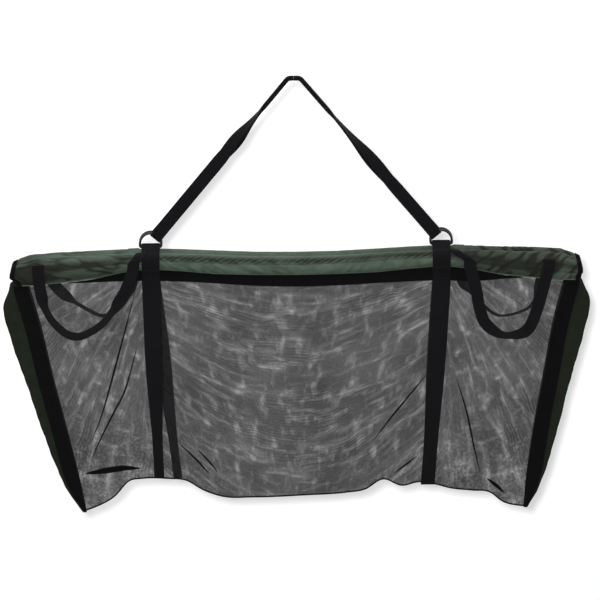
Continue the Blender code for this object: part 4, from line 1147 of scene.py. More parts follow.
@dataclass
class MeshPanel:
    """Net of one half of the bag, hung from its black binding and drawn into folds by the girth straps."""

    half: Half
    columns: int = 132
    rows: int = 72
    tree: BVHTree | None = None
    length: float = 545.0
    fold_thickness: float = 0.5

    def point(self, share: float, depth: float) -> Point:
        """Point of the net, with the fine folds that its solid leaves out.

        Args:
            share: Place across the panel, from -1 to 1.
            depth: Place down it, from 0 to 1.

        Returns:
            The point.
        """
        x, y, z = FORM.panel_point(self.half, share, depth)
        loose = math.sin(math.pi * depth) ** 0.8 * (1 - abs(share) ** 8)
        away = abs(abs(x) - FORM.strap_x)
        fan = math.atan2(away + 8, 60 + FORM.bag_top_z - z)
        radiating = math.sin(17 * fan + 1.3 * self.half.value) * math.exp(-away / 150)
        sag = 1.6 * ripple(x, self.half.value * 50, z * 0.6, size=70)
        return (x, y + self.half.value * loose * (1.5 * radiating + sag - 1.2), z)

    def sweep(self, x: float, z: float) -> Flat:
        """Place in the sweep of the moire: arcs like smiles between the straps, and fans outside them.

        Args:
            x: Place along the sling.
            z: Height.

        Returns:
            Distance along the sweep and across it, in millimetres.
        """
        drift = 7 * ripple(x * 0.6, self.half.value * 12, z, size=110) + 2 * ripple(x, 9, z, size=30)
        away = abs(x) - FORM.strap_x
        if away > 0:
            down = FORM.bag_top_z + 30 - z
            turn = math.atan2(away + 25, max(down, 1.0) + 40)
            return (math.hypot(away, down) + 900, 330 * turn * (1 + 0.0009 * down) + drift)
        depth = (FORM.bag_top_z - z) / FORM.bag_depth
        bend = 0.0009 + 0.0017 * depth
        return (x * (1 + 0.3 * depth), z - bend * (x + 10) ** 2 + drift)

    def crease(self, x: float, z: float) -> float:
        """How much the net's cover grows at a place where it folds over itself."""
        corner = 0.05 * smoothstep(-640, -820, z) * smoothstep(120, 320, abs(x))
        return 0.07 * ripple(x * 0.8, 4, z * 1.3, size=120) + corner

    def grain(self, x: float, z: float) -> float:
        """How strong the net's fine specks are at a place: most in its lower corners."""
        return 0.06 + 0.1 * smoothstep(-650, -850, z) * smoothstep(80, 330, abs(x))

    def build_net(self) -> None:
        """Make the net."""
        shares = spaced(-1, 1, self.columns + 1)
        rows = [[self.point(share, depth) for share in shares] for depth in spaced(0, 1, self.rows + 1)]
        rows.insert(0, [(x, y, FORM.sleeve_shape(x)[1] - GAP - 1) for x, y, _ in rows[0]])
        made = Surface()
        made.add_grid(rows, flip=self.half is Half.FRONT)
        spots = [(x, z) for x, _, z in made.points]
        sweeps = [self.sweep(x, z) for x, z in spots]
        shift = 0.0 if self.half is Half.FRONT else 410.0
        made.carry(
            along=[z for _, z in spots],
            across=[x for x, _ in spots],
            sweep=[along + shift for along, _ in sweeps],
            beat=[across for _, across in sweeps],
            grain=[self.grain(x, z) for x, z in spots],
            crease=[self.crease(x, z) for x, z in spots],
        )
        self.tree = BVHTree.FromPolygons([Vector(point) for point in made.points], made.faces)
        piece = made.mesh_object(f"{self.half.label}_net", NET, solid=False)
        settle_low(piece, self.half, [f"{self.half.label}_mesh_panel"])

    def build_fold_lines(self) -> None:
        """Make the thin doubled folds that run down from the straps, drawn black with painted shade."""
        # Fullest width of each fold and its line, as X and Z
        folds = (
            (3.4, (-339, -443), (-379, -588), (-413, -705), (-439, -771)),
            (3.4, (-336, -557), (-363, -651), (-386, -698), (-418, -762), (-440, -812)),
            (3.4, (275, -620), (202, -712), (160, -769)),
            (3.4, (335, -634), (355, -705), (372, -790), (384, -846)),
            (3.4, (250, -806), (201, -846)),
            (3.4, (-252, -770), (-218, -806), (-188, -842)),
            (3.4, (-213, -785), (-185, -818), (-171, -838)),
            # The two wide ones are wedges of painted shade where the net folds at its lower corners
            (13.0, (-452, -838), (-412, -832), (-372, -827), (-334, -828)),
            (7.0, (398, -858), (420, -876), (436, -892)),
        )
        for number, (fullest, *line) in enumerate(folds, 1):
            spots = resampled([Vector((x, 0, z)) for x, z in line], 6)
            strip = Strip(f"{self.half.label}_net_fold_{number}", NET_FOLD_AND_SHADE, self.fold_thickness)
            for i, (spot, heading) in enumerate(zip(spots, headings(spots))):
                out = self.reach(spot[0], spot[2])
                if out is None:
                    continue
                normal = self.half.outside
                width = 0.4 + fullest * math.sin(math.pi * i / (len(spots) - 1)) ** 0.7
                strip.add(spot + normal * (out + 0.55), normal.cross(heading).normalized(), normal, width)
            settle_low(strip.build(), self.half)

    def reach(self, x: float, z: float) -> float | None:
        """How far out the net lies at a place.

        Args:
            x: Place along the sling.
            z: Height.

        Returns:
            Distance from the sling's middle plane, or None beside the net.
        """
        sign = self.half.value
        hit = self.tree.ray_cast(Vector((x, sign * 200, z)), Vector((0, -sign, 0)))[0]
        return None if hit is None else sign * hit[1]

    def under(self, x: float, z: float, half_width: float, half_height: float, fallback: float) -> float:
        """Furthest that the net reaches under a strip.

        Args:
            x: Middle of the strip's patch.
            z: Height of its middle.
            half_width: Half the patch's width.
            half_height: Half its height.
            fallback: What to return beside the net.

        Returns:
            The greatest distance out.
        """
        patch = ((x + u * half_width, z + v * half_height) for u in (-1, -0.5, 0, 0.5, 1) for v in (-1, 0, 1))
        outs = [out for spot in patch if (out := self.reach(*spot)) is not None]
        return max(outs, default=fallback)

    def edge_out(self, side: Side, depth: float) -> float:
        """Furthest that the net reaches just inside one of its edges.

        Args:
            side: Which edge.
            depth: Share of the bag's depth.

        Returns:
            The distance out.
        """
        inside = FORM.mesh_under(side, depth) - 2
        x = FORM.edge_x(side, FORM.band_line, depth) + side.value * inside
        return self.under(x, FORM.edge_z(depth), 2, 14, FORM.foot_y)

    def build_binding(self) -> None:
        """Make the black binding between sleeve and net."""
        strip = Strip(f"{self.half.label}_binding", BINDING, FORM.binding)
        for x in spaced(-FORM.half_length, FORM.half_length, 240):
            # It sags in the middle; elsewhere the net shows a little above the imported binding's edge
            top, bottom = FORM.sleeve_shape(x)[1] - GAP, eased(FORM.binding_line, x)
            if top - bottom >= FORM.binding:
                out = FORM.sleeve_y + 0.5 * ripple(x, self.half.value, 0, size=60)
                middle = Vector((x, self.half.value * out, (top + bottom) / 2))
                strip.add(middle, UP, self.half.outside, top - bottom)
        settle(strip.build(), self.half.body, [f"{self.half.label}_top_binding"])

    def build(self) -> None:
        """Make the net, its binding and, in front, its folds."""
        self.build_net()
        self.build_binding()
        if self.half is Half.FRONT:
            self.build_fold_lines()


@dataclass
class FootHem:
    """Black hem that joins both nets along the bag's lower edge."""

    width: float = 2.8
    over_edge: float = 0.8

    def build(self) -> None:
        """Make the hem."""
        edge = [FORM.panel_point(Half.FRONT, share, 1.0) for share in spaced(-1, 1, 150)]
        centres = resampled([Vector((x, 0, z + self.width / 2 - self.over_edge)) for x, _, z in edge], 6)
        strip = Strip("foot_hem", BINDING, 2 * (FORM.foot_y + FORM.panel / 2 - GAP))
        for centre, heading in zip(centres, headings(centres)):
            strip.add(centre, FORWARD.cross(heading).normalized(), FORWARD, self.width)
        settle(strip.build(), "rear_half")


@dataclass
class GirthStrap:
    """Webbing from a D-ring's bar over the sleeve and down the bag, sewn back on itself at the top."""

    panel: MeshPanel
    side: Side
    foot: float
    folded: float
    thread: Thread
    tail_angle: float = 58.0
    steps: int = 26
    above_foot: float = 1.5
    fold_heights: Flat = (-560.0, -800.0)
    box_width: float = 29.0
    box_angles: Flat = (22.0, 56.0)

    @property
    def top_x(self) -> float:
        """X of the strap on the sleeve."""
        return self.side.value * FORM.strap_x

    def profile(self) -> list[Flat]:
        """Side view from the sewn tail, round the D-ring's bar and down past the sleeve.

        Returns:
            Points as distance out from the sling's middle plane and height.
        """
        sleeve, bar = Vector((FORM.sleeve_y, FORM.sleeve_z)), Vector((FORM.bar_y, FORM.bar_z))
        loop = FORM.ring_wire / 2 + GAP + FORM.webbing / 2
        tail = FORM.sleeve_radius + GAP + FORM.webbing / 2
        main = tail + FORM.webbing + GAP
        reach = (bar - sleeve).length
        towards = math.atan2(bar[0] - sleeve[0], bar[1] - sleeve[1])
        tail_touch = towards + math.acos((tail + loop) / reach)
        main_touch = towards + math.acos((main - loop) / reach)
        end = math.radians(self.tail_angle)
        # Centre, radius, first and last angle and steps of each arc
        arcs = (
            (sleeve, tail, end, tail_touch, 9),
            (bar, loop, tail_touch + math.pi, main_touch + math.tau, 16),
            (sleeve, main, main_touch, end + math.radians(14), 9),
            (sleeve, tail, end + math.radians(34), math.radians(150), 8),
        )
        points = [
            (centre[0] + radius * math.sin(turn), centre[1] + radius * math.cos(turn))
            for centre, radius, start, stop, steps in arcs
            for turn in spaced(start, stop, steps + 1)
        ]
        skim = FORM.sleeve_y + FORM.binding / 2 + GAP + FORM.webbing / 2
        under = FORM.sleeve_z - FORM.sleeve_radius
        return points + [(skim + 1.2, under - 6), (skim, under - 11), (skim, FORM.bag_top_z + 1)]

    def build(self) -> None:
        """Make the strap and its stitching."""
        half, sign, width = self.panel.half, self.panel.half.value, FORM.girth_width
        foot_x = self.foot * self.top_x
        path = [Vector((self.top_x, sign * out, z)) for out, z in self.profile()]
        bottom = FORM.foot_z(foot_x / (FORM.half_length - FORM.corner_inset)) + self.above_foot
        out = sign * path[-1][1]
        lift = FORM.panel / 2 + GAP + FORM.webbing / 2
        for step in range(1, self.steps + 1):
            fall = step / self.steps
            x = self.top_x + (foot_x - self.top_x) * fall
            z = FORM.bag_top_z + fall * (bottom - FORM.bag_top_z)
            out = self.panel.under(x, z, width / 2, 9, out - lift) + lift
            path.append(Vector((x, sign * out, z)))
        strip = Strip(f"{half.label}_girth_webbing_{self.side.label}", WEBBING, FORM.webbing)
        for spot, heading in zip(path, headings(path)):
            folded = 1 - (1 - self.folded) * smoothstep(*self.fold_heights, spot[2])
            uneven = 1 - 0.03 * abs(ripple(spot[2], self.top_x, sign, size=80))
            strip.add(spot, ALONG, ALONG.cross(heading).normalized(), width * folded * uneven)
        settle_low(strip.build(), half, [f"{half.label}_girth_strap_{self.side.label}"])
        self.thread.box(self.corner)

    def corner(self, u: float, v: float) -> tuple[Vector, Vector]:
        """Place in the box of stitches that closes the loop round the bar.

        Args:
            u: Share across the strap.
            v: Share down it.

        Returns:
            Point of the outer layer and its normal.
        """
        sign, (first, last) = self.panel.half.value, self.box_angles
        turn = math.radians(first + (last - first) * v)
        radius = FORM.sleeve_radius + 2 * GAP + 2 * FORM.webbing + 0.1
        normal = Vector((0, sign * math.sin(turn), math.cos(turn)))
        x = self.top_x + (u - 0.5) * self.box_width
        return Vector((x, sign * FORM.sleeve_y, FORM.sleeve_z)) + normal * radius, normal


@dataclass
class SideEdge:
    """Black band down one edge of a net."""

    panel: MeshPanel
    side: Side
    rows: int = 40
    fullest: float = 32.0
    covers: float = 0.78
    droop: float = 0.8

    def build(self) -> None:
        """Make the band."""
        half, sign, outward = self.panel.half, self.panel.half.value, self.side.value
        thick, lift = FORM.binding / 2, FORM.panel / 2 + GAP + FORM.binding / 2
        shares = spaced(0, 1, 7)
        rings, along, across = [], [], []
        for depth in spaced(-FORM.side_rise, 1, self.rows + 1):
            z = FORM.edge_z(depth)
            inner, outer = (FORM.edge_x(self.side, line, depth) for line in (FORM.band_line, FORM.leaf_line))
            width = min(self.fullest, self.covers * abs(outer - inner))
            under = FORM.mesh_under(self.side, depth)
            edge_out = self.panel.edge_out(self.side, depth)
            inner_out = max(self.panel.under(inner, z, 3, 14, edge_out), edge_out)
            outs = np.interp(
                shares,
                (0.0, under / width, 1.0),
                (inner_out + lift, edge_out + lift, edge_out * self.droop + lift),
            )
            wave = 0.35 * ripple(z, outward * 30, sign * 20, size=35)
            xs = [inner + outward * width * share for share in shares]
            line = [(x, out + wave * share) for x, share, out in zip(xs, shares, outs)]
            front = [(x, sign * (out + thick), z) for x, out in line]
            rings.append(front + [(x, sign * (out - thick), z) for x, out in line[::-1]])
            along += [z] * len(rings[-1])
            across += [share * width for share in shares + shares[::-1]]
        made = Surface()
        made.add_bar(rings)
        made.carry(along=along, across=across)
        piece = made.mesh_object(f"{half.label}_side_binding_{self.side.label}", BINDING)
        settle_low(piece, half, [f"{half.label}_side_band_{self.side.label}"])


@dataclass
class EndGusset:
    """Green cloth that joins both halves at one end of the bag, folded outward, with a bound edge."""

    side: Side
    panels: dict[Half, MeshPanel]
    rows: int = 60
    edge_y: float = 1.0
    edging_width: float = 3.4
    edging_thickness: float = 2.6
    root_gap: float = 1.2
    fold_inset: float = 1.2
    pucker: float = 1.3
    scallop: float = 1.6
    # Share of the way from the net to the fold, and how far the cloth stands off the middle there
    opening: tuple[tuple[float, ...], tuple[float, ...]] = ((0, 0.45, 0.82, 1), (1, 0.62, 0.28, 0))

    @property
    def tip(self) -> Flat:
        """How far the upper end of the fold lies in and up between the sleeves."""
        return (15.0, 15.0) if self.side is Side.LEFT else (4.0, 2.0)

    def leaf(self, half: Half, depth: float) -> list[Point]:
        """Section of one leaf at a share of the bag's depth, from its net out to the fold.

        Args:
            half: Half of the bag that the leaf is on.
            depth: Share of the bag's depth.

        Returns:
            Points of the section.
        """
        outward, z = self.side.value, FORM.edge_z(depth)
        inner, outer = (FORM.edge_x(self.side, line, depth) for line in (FORM.band_line, FORM.leaf_line))
        root_x = inner + outward * (FORM.mesh_under(self.side, depth) + self.root_gap)
        root_y = max(self.panels[half].edge_out(self.side, depth) - GAP, self.edge_y)
        points = []
        for share in spaced(0, 1, 9):
            opened = float(np.interp(share, *self.opening))
            pucker = self.pucker * ripple(z * 1.2, share * 30, half.value * 60, size=26)
            pucker *= math.sin(math.pi * share)
            out = max(0.5, self.edge_y + opened * (root_y - self.edge_y) + pucker)
            scallop = self.scallop * ripple(z, 0, outward * 40, size=34) * share
            tip = (1 - smoothstep(-FORM.side_rise, 0.0, depth)) * self.tip[0] * share
            raised = (1 - smoothstep(-FORM.side_rise, 0.03, depth)) * self.tip[1]
            raised *= smoothstep(0.5, 0.85, share)
            x = root_x + share * (outer - root_x) + outward * (scallop - self.fold_inset * share - tip)
            points.append((x, half.value * out, z + raised))
        return points

    def build(self) -> None:
        """Make the gusset and its bound edge."""
        depths = spaced(-FORM.side_rise, 1, self.rows + 1)
        rows = [self.leaf(Half.FRONT, depth) + self.leaf(Half.REAR, depth)[::-1] for depth in depths]
        made = Surface()
        made.add_grid(rows, flip=self.side is Side.RIGHT)
        made.carry(
            along=[row[0][2] for row in rows for _ in row],
            across=[4.0 * i for row in rows for i in range(len(row))],
            tint=[0.25 + 0.3 * abs(ripple(*point, size=60)) for point in made.points],
        )
        piece = made.mesh_object(f"gusset_{self.side.label}", GUSSET_CLOTH, solid=False)
        nodes = [f"{half.label}_gusset_{self.side.label}" for half in Half]
        settle(piece, "rear_half", nodes, MIDDLE_BEND)
        middle, inset = len(rows[0]) // 2, ALONG * self.side.value * self.fold_inset
        fold = [(Vector(row[middle - 1]) + Vector(row[middle])) / 2 - inset for row in rows]
        strip = Strip(f"gusset_edging_{self.side.label}", BINDING, self.edging_thickness)
        for centre, heading in zip(fold, headings(fold)):
            strip.add(centre, FORWARD.cross(heading).normalized(), FORWARD, self.edging_width)
        settle(strip.build(), "rear_half", bend=MIDDLE_BEND)


@dataclass
class WeighStrap:
    """Long strap of one half with its folded, stitched grip and its ends sewn round the D-rings."""

    half: Half
    thread: Thread
    width: float = 25.0
    fold_stitch: float = 0.4
    stack_gap: float = 0.95
    left_leg: Point = (85.0, 85.0, 245.0)
    right_leg: Point = (100.0, 108.0, 330.0)
    grip_taper: float = 25.0
    apex_flat: float = 14.0
    apex_bend: float = 12.0
    seam_inset: float = 2.2
    tail: float = 85.0
    ring_opening: float = 40.0
    ring_shank: float = 7.0
    loop_slack: float = 0.3
    loop_spread: float = 22.0

    @property
    def layer(self) -> float:
        """How far the middle of each layer lies from the middle of the sewn strap."""
        return (FORM.webbing + GAP) / 2

    def sections(self, side: Side) -> list[Section]:
        """Sections of one leg, drawn to the right, from the crown over the hook to the tail at the ring.

        Args:
            side: Which leg.

        Returns:
            The sections.
        """
        # How far along the leg the grip ends, and the quarter turn starts and ends
        grip_end, twist_start, twist_end = self.left_leg if side is Side.LEFT else self.right_leg
        grip_thick = 2 * FORM.webbing + self.fold_stitch
        crown_z = grip_thick + self.stack_gap / 2
        ring_point = Vector((FORM.strap_x, 0.0, FORM.bar_z + self.ring_shank))
        bend_centre = Vector((self.apex_flat / 2, 0, crown_z - self.apex_bend))
        reach = ring_point - bend_centre
        slope = math.atan2(-reach[2], reach[0]) + math.asin(self.apex_bend / reach.length)
        down = Vector((math.cos(slope), 0.0, -math.sin(slope)))
        upward = Vector((math.sin(slope), 0.0, math.cos(slope)))
        bend_end = bend_centre + upward * self.apex_bend
        leg = (ring_point - bend_end).length
        made = []

        def place(point: Vector, tangent: Vector, up: Vector, travelled: float) -> None:
            """Add a section of the leg.

            Args:
                point: Middle of both straps.
                tangent: Direction of the leg there.
                up: Direction away from the hook's side.
                travelled: Length from the hook up to there.
            """
            turn = smoothstep(twist_start, twist_end, travelled)
            angle = turn * math.pi / 2
            normal = math.cos(angle) * up + math.sin(angle) * FORWARD
            opened = smoothstep(grip_end, grip_end + self.grip_taper, travelled)
            thick = grip_thick + opened * (FORM.webbing - grip_thick)
            near = (thick + self.stack_gap * (1 - 0.4 * opened)) / 2
            offset = near + smoothstep(0.2, 1.0, turn) * (FORM.bar_y + self.layer - near)
            centre = point - self.half.value * offset * normal
            made.append((centre, normal.cross(tangent), normal, self.width / 2 * (1 + opened), thick))

        for x in (0.0, 2.5, 5.0, self.apex_flat / 2):
            place(Vector((x, 0.0, crown_z)), ALONG, UP, x)
        for angle in (slope * step / 9 for step in range(1, 10)):
            up = Vector((math.sin(angle), 0, math.cos(angle)))
            tangent = Vector((math.cos(angle), 0, -math.sin(angle)))
            place(bend_centre + up * self.apex_bend, tangent, up, self.apex_flat / 2 + self.apex_bend * angle)
        bend_travel = self.apex_flat / 2 + self.apex_bend * slope
        for mark in spaced(5, leg - self.tail - 5, int((leg - self.tail - 5) / 5)):
            place(bend_end + down * mark, down, upward, mark + bend_travel)
        place(ring_point - down * self.tail, down, upward, leg + bend_travel)
        return made + self.loop(ring_point, down)

    def loop(self, ring_point: Vector, down: Vector) -> list[Section]:
        """Sections of the loop round the D-ring's bow and of the tail sewn back on the strap.

        Args:
            ring_point: Centre of the ring's bow, on the sling's middle plane.
            down: Direction of the leg.

        Returns:
            The sections.
        """
        wire, arc = FORM.ring_wire / 2, (self.ring_opening + FORM.ring_wire) / 2
        radius = wire + GAP + self.loop_slack + FORM.webbing / 2
        chord = math.sqrt(arc**2 - (self.width / 2) ** 2)
        turn_at = chord - wire * arc / chord + wire
        spread_at = arc + wire + GAP
        across = FORWARD.cross(down)
        made = []

        def place(reach: float, out: float, angle: float) -> None:
            """Add a section of the loop.

            Args:
                reach: Distance from the ring's bow up the leg.
                out: Distance from the sling's middle plane.
                angle: How far the webbing has turned round the bow, in radians.
            """
            normal = math.cos(angle) * FORWARD - self.half.value * math.sin(angle) * down
            centre = ring_point - down * reach - self.half.value * out * FORWARD
            made.append((centre, across, normal, self.width, FORM.webbing))

        for share in spaced(0, 1, 8)[1:]:
            rise = smoothstep(0, 1, share) * (radius - self.layer)
            place(spread_at + self.loop_spread * (1 - share), FORM.bar_y + self.layer + rise, 0.0)
        for angle in spaced(0, math.pi, 13):
            place(turn_at - radius * math.sin(angle), FORM.bar_y + radius * math.cos(angle), angle)
        for share in spaced(0, 1, 8):
            rise = smoothstep(0, 1, share) * (radius - self.layer)
            place(spread_at + self.loop_spread * share, FORM.bar_y - radius + rise, math.pi)
        place(self.tail, FORM.bar_y - self.layer, math.pi)
        return made

    def build(self) -> None:
        """Make the strap, with its left leg mirrored about the hook, and its seams."""
        right, leg = self.sections(Side.RIGHT), self.sections(Side.LEFT)
        flip = Vector((-1, 1, 1))
        left = [(c * flip, -(a * flip), n * flip, w, t) for c, a, n, w, t in reversed(leg[1:])]
        path = left + right
        piece = Strip(f"{self.half.label}_weigh_webbing", WEBBING, FORM.webbing, path).build()
        for side in Side:
            seam = [s for s in path if 1 < s[0][0] * side.value < 90 and s[3] < self.width / 2 + 0.5]
            for face in (-1, 1):
                normals = [normal * face for _, _, normal, _, _ in seam]
                line = [
                    centre + across * (width / 2 - self.seam_inset) + normal * (thick / 2 + 0.05)
                    for (centre, across, _, width, thick), normal in zip(seam, normals)
                ]
                self.thread.run(line, normals)
            self.sew_tail(right, Vector((side.value, 1, 1)))
        settle(piece, self.half.strap_body, [f"{self.half.label}_weigh_strap"])

    def sew_tail(self, right: Sequence[Section], mirror: Vector) -> None:
        """Sew a tail's box, a little above the ring.

        Args:
            right: Sections of the right leg.
            mirror: Factors that bring them to the leg that is sewn.
        """
        (near, *_), (end, across, *_) = right[-2:]

        def corner(u: float, v: float) -> tuple[Vector, Vector]:
            """Place in the box of stitches on the outer layer.

            Args:
                u: Share across the strap.
                v: Share along it.

            Returns:
                Point and normal of the layer.
            """
            spot = near + (end - near) * (0.08 + 0.84 * v) + across * (u - 0.5) * (self.width - 7)
            spot[1] = self.half.value * (FORM.bar_y + FORM.webbing + GAP / 2 + 0.05)
            return spot * mirror, self.half.outside

        self.thread.box(corner)


@dataclass(frozen=True)
class HandleForm:
    """How one handle hangs.

    The route runs from the outer to the inner sewn end, as shares of the stretch from girth strap to
    sleeve end and of the handle's drop. Round its lowest point the webbing lies at lowest_turn degrees
    to the plane of the loop's edge, up to edge_on_to, and faces forward from facing_from, both as
    shares of the drop. The inner end starts at inner_top degrees from the crest and leans over.
    """

    route: Line
    lowest_turn: float
    edge_on_to: float
    facing_from: float
    inner_top: float
    lean: float = 0.0


@dataclass
class CarryHandle:
    """Handle of one end of one half, hanging by its two sewn ends and turning edge-on at its bottom."""

    half: Half
    side: Side
    form: HandleForm
    thread: Thread
    width: float = 25.0
    drop: float = 150.0
    hinge_below_sleeve: float = 11.7
    outer_top: float = 57.0
    over_strap: float = 4.0
    lowest_angle: float = 88.0
    lowest_level: float = 0.035

    @property
    def hinge_z(self) -> float:
        """Height of the line about which the handle turns."""
        return FORM.sleeve_z - self.hinge_below_sleeve

    @property
    def tab_out(self) -> float:
        """How far out the sewn ends lie at the hinge line."""
        return FORM.sleeve_y + FORM.sleeve_radius + GAP + FORM.webbing / 2

    def place_x(self, share: float) -> float:
        """X of a share of the stretch from the girth strap to the sleeve's end."""
        return self.side.value * (FORM.strap_x + share * (FORM.half_length - FORM.strap_x))

    def curve(self) -> list[Vector]:
        """Points along the hanging loop, as X and Z in the handle's plane.

        Returns:
            Points at an even pitch.
        """
        spots = [
            Vector((self.place_x(share), 0, self.hinge_z - fall * self.drop))
            for share, fall in self.form.route
        ]
        line = resampled([spots[0] + UP * 12, *spots, spots[-1] + UP * 12], 5)
        return [spots[0], *(p for p in line if p[2] < self.hinge_z - 2), spots[-1]]

    def build_loop(self) -> None:
        """Make the hanging loop."""
        curve, form = self.curve(), self.form
        lengths = lengths_along(curve)
        bottom = lengths[min(range(len(curve)), key=lambda i: curve[i][2])]
        out = self.half.outside * (self.tab_out + FORM.webbing + GAP)
        strip = Strip(f"{self.half.label}_handle_webbing_{self.side.label}", WEBBING, FORM.webbing)
        for point, flat, length in zip(curve, [-UP, *headings(curve)[1:-1], UP], lengths):
            rise = smoothstep(form.edge_on_to, form.facing_from, abs(length - bottom) / self.drop)
            turn = math.radians(form.lowest_turn + (90 - form.lowest_turn) * rise)
            inward = Vector((flat[2], 0, -flat[0])) * self.side.value
            normal = math.cos(turn) * inward + math.sin(turn) * self.half.outside
            strip.add(point + out, normal.cross(flat), normal, self.width)
        node = f"{self.half.label}_handle_{self.side.label}"
        settle(strip.build(), node, [node])

    def build_end(self, place: str, share: float) -> None:
        """Make a sewn end, from over the sleeve down past the hinge line.

        Args:
            place: Which end, outer or inner.
            share: Its place along the sling, as a share from the girth strap to the sleeve's end.
        """
        inner, lift = place == "inner", GAP + FORM.webbing / 2
        top = self.form.inner_top if inner else self.outer_top
        strap_edge = FORM.strap_x + FORM.girth_width / 2
        rows = []
        top_level = math.cos(math.radians(top)) - self.lowest_level
        for angle in spaced(top, self.lowest_angle, 16):
            # The inner end leans towards the girth strap, and over its edge where it reaches it
            raised = (math.cos(math.radians(angle)) - self.lowest_level) / top_level
            lean = self.side.value * self.form.lean * inner * raised
            edges = []
            for spot in (self.place_x(share) + dx - lean for dx in (-self.width / 2, self.width / 2)):
                over = self.over_strap * smoothstep(-6.0, 1.0, strap_edge - abs(spot)) * inner
                edges.append(Vector(FORM.sleeve_point(self.half, spot, angle, lift + over)))
            if min(edge[2] for edge in edges) > self.hinge_z + 2:
                rows.append(edges)
        below = self.half.outside * self.tab_out + UP * (self.hinge_z - 4)
        rows.append([below + ALONG * edge[0] for edge in rows[-1]])
        centres = [(a + b) / 2 for a, b in rows]
        strip = Strip(f"{self.half.label}_handle_end_{self.side.label}_{place}", WEBBING, FORM.webbing)
        for centre, heading, (a, b) in zip(centres, headings(centres), rows):
            across = (b - a).normalized()
            normal = across.cross(heading).normalized() * self.half.value
            strip.add(centre, across, normal, (b - a).length)
        node = f"{self.half.label}_handle_{self.side.label}_{place}_end"
        settle(strip.build(), self.half.body, [node])

        def corner(u: float, v: float) -> tuple[Vector, Vector]:
            """Place in the box of stitches on the sewn end.

            Args:
                u: Share across the webbing.
                v: Share down it.

            Returns:
                Point and normal of the webbing.
            """
            i = min(int(v * 0.75 * (len(rows) - 2)), len(rows) - 2)
            normal = strip.sections[i][2]
            normal = normal if normal[1] * self.half.value > 0 else -normal
            return rows[i][0].lerp(rows[i][1], 0.12 + 0.76 * u) + normal * (FORM.webbing / 2 + 0.05), normal

        self.thread.box(corner, cross=False)

    def build(self) -> None:
        """Make the handle and its sewn ends."""
        self.build_loop()
        self.build_end("outer", self.form.route[0][0])
        self.build_end("inner", self.form.route[-1][0])


@dataclass
class MouthZip:
    """Zip between the sleeves: each tape with its row of moulded teeth."""

    half: Half
    half_run: float = 545.0
    pitch: float = 3.0
    tape: float = 0.8
    bead_width: float = 2.0
    bead_height: float = 2.4
    tooth_half: float = 1.15
    web: float = 1.2

    @property
    def near(self) -> float:
        """How far out the teeth begin."""
        return self.web / 2 + GAP

    def build_tape(self) -> None:
        """Make the tape, from the teeth to the sleeve."""
        strip = Strip(f"{self.half.label}_mouth_tape", BINDING, self.tape)
        start = self.near + 0.4
        for x in spaced(-self.half_run, self.half_run, 120):
            crest, under, depth = FORM.sleeve_shape(x)
            middle, height = (crest + under) / 2, (crest - under) / 2
            levels = [(FORM.sleeve_z + up - middle) / height for up in (-self.tape, self.tape)]
            reach = max(depth * math.sqrt(max(0.0, 1 - level * level)) for level in levels)
            end = FORM.sleeve_y - reach - 2 * GAP
            centre = Vector((x, self.half.value * (start + end) / 2, FORM.sleeve_z))
            strip.add(centre, -FORWARD, UP, end - start)
        settle(strip.build(), self.half.body, [f"{self.half.label}_zip_tape"])

    def build_teeth(self) -> None:
        """Make the row of teeth, set between those of the other half."""
        made = Surface()
        shift = 0.0 if self.half is Half.REAR else self.pitch / 2
        first = -self.half_run + 2 + shift
        for number in range(int((self.half_run - 2 - first) / self.pitch)):
            x, rings = first + number * self.pitch, []
            # Share of the tooth's length and size there
            for share, size in ((0.0, 0.62), (0.25, 0.95), (0.75, 1.0), (1.0, 0.8)):
                y = self.half.value * (self.near + share * self.bead_width)
                w, h = self.tooth_half * size, self.bead_height / 2 * size
                corners = ((-w, -h), (w, -h), (w, h), (-w, h))
                rings.append([(x + u, y, FORM.sleeve_z + v) for u, v in corners])
            made.add_bar(rings)
        piece = made.mesh_object(f"{self.half.label}_mouth_teeth", ZIP_TEETH, smooth_angle=30)
        settle(piece, self.half.body)

    def build(self) -> None:
        """Make the tape and its teeth."""
        self.build_tape()
        self.build_teeth()


@dataclass
class Hardware:
    """Rings, poles, ferrules and zip metal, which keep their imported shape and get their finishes."""

    @property
    def finishes(self) -> dict[str, Finish]:
        """Finish of each kept solid, by its node."""
        ends = [f"{half.label}_{{}}_{side.label}" for half in Half for side in Side]
        return {
            **{node: ZIP_METAL for node in ("zip_slider", "zip_pull", "zip_stop_left", "zip_stop_right")},
            **{f"{half.label}_pole_ferrule": FERRULE for half in Half},
            **{end.format("d_ring"): ENAMEL for end in ends},
            **{end.format("pole"): POLE for end in ends},
        }

    def dress(self) -> None:
        """Give each kept solid its finish."""
        for node, finish in self.finishes.items():
            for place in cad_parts[node].material_slots:
                place.link = "OBJECT"
                place.material = finish.material()
            LOG.info("%s is dressed in %s", node, finish.name)


@dataclass
class RetainerSling:
    """The whole sling."""

    feet: dict[tuple[Half, Side], Flat]
    handles: dict[tuple[Half, Side], HandleForm]

    def build(self) -> None:
        """Make every piece of the sling."""
        panels = {half: MeshPanel(half) for half in Half}
        threads = {body: Thread(body) for body in ("rear_half", "front_half", "hook_strap", "front_strap")}
        for half, panel in panels.items():
            FloatSleeve(half).build()
            panel.build()
            MouthZip(half).build()
            WeighStrap(half, threads[half.strap_body]).build()
            for side in Side:
                GirthStrap(panel, side, *self.feet[half, side], threads[half.body]).build()
                SideEdge(panel, side).build()
                CarryHandle(half, side, self.handles[half, side], threads[half.body]).build()
        for side in Side:
            EndGusset(side, panels).build()
        FootHem().build()
        for thread in threads.values():
            thread.build()
        Hardware().dress()


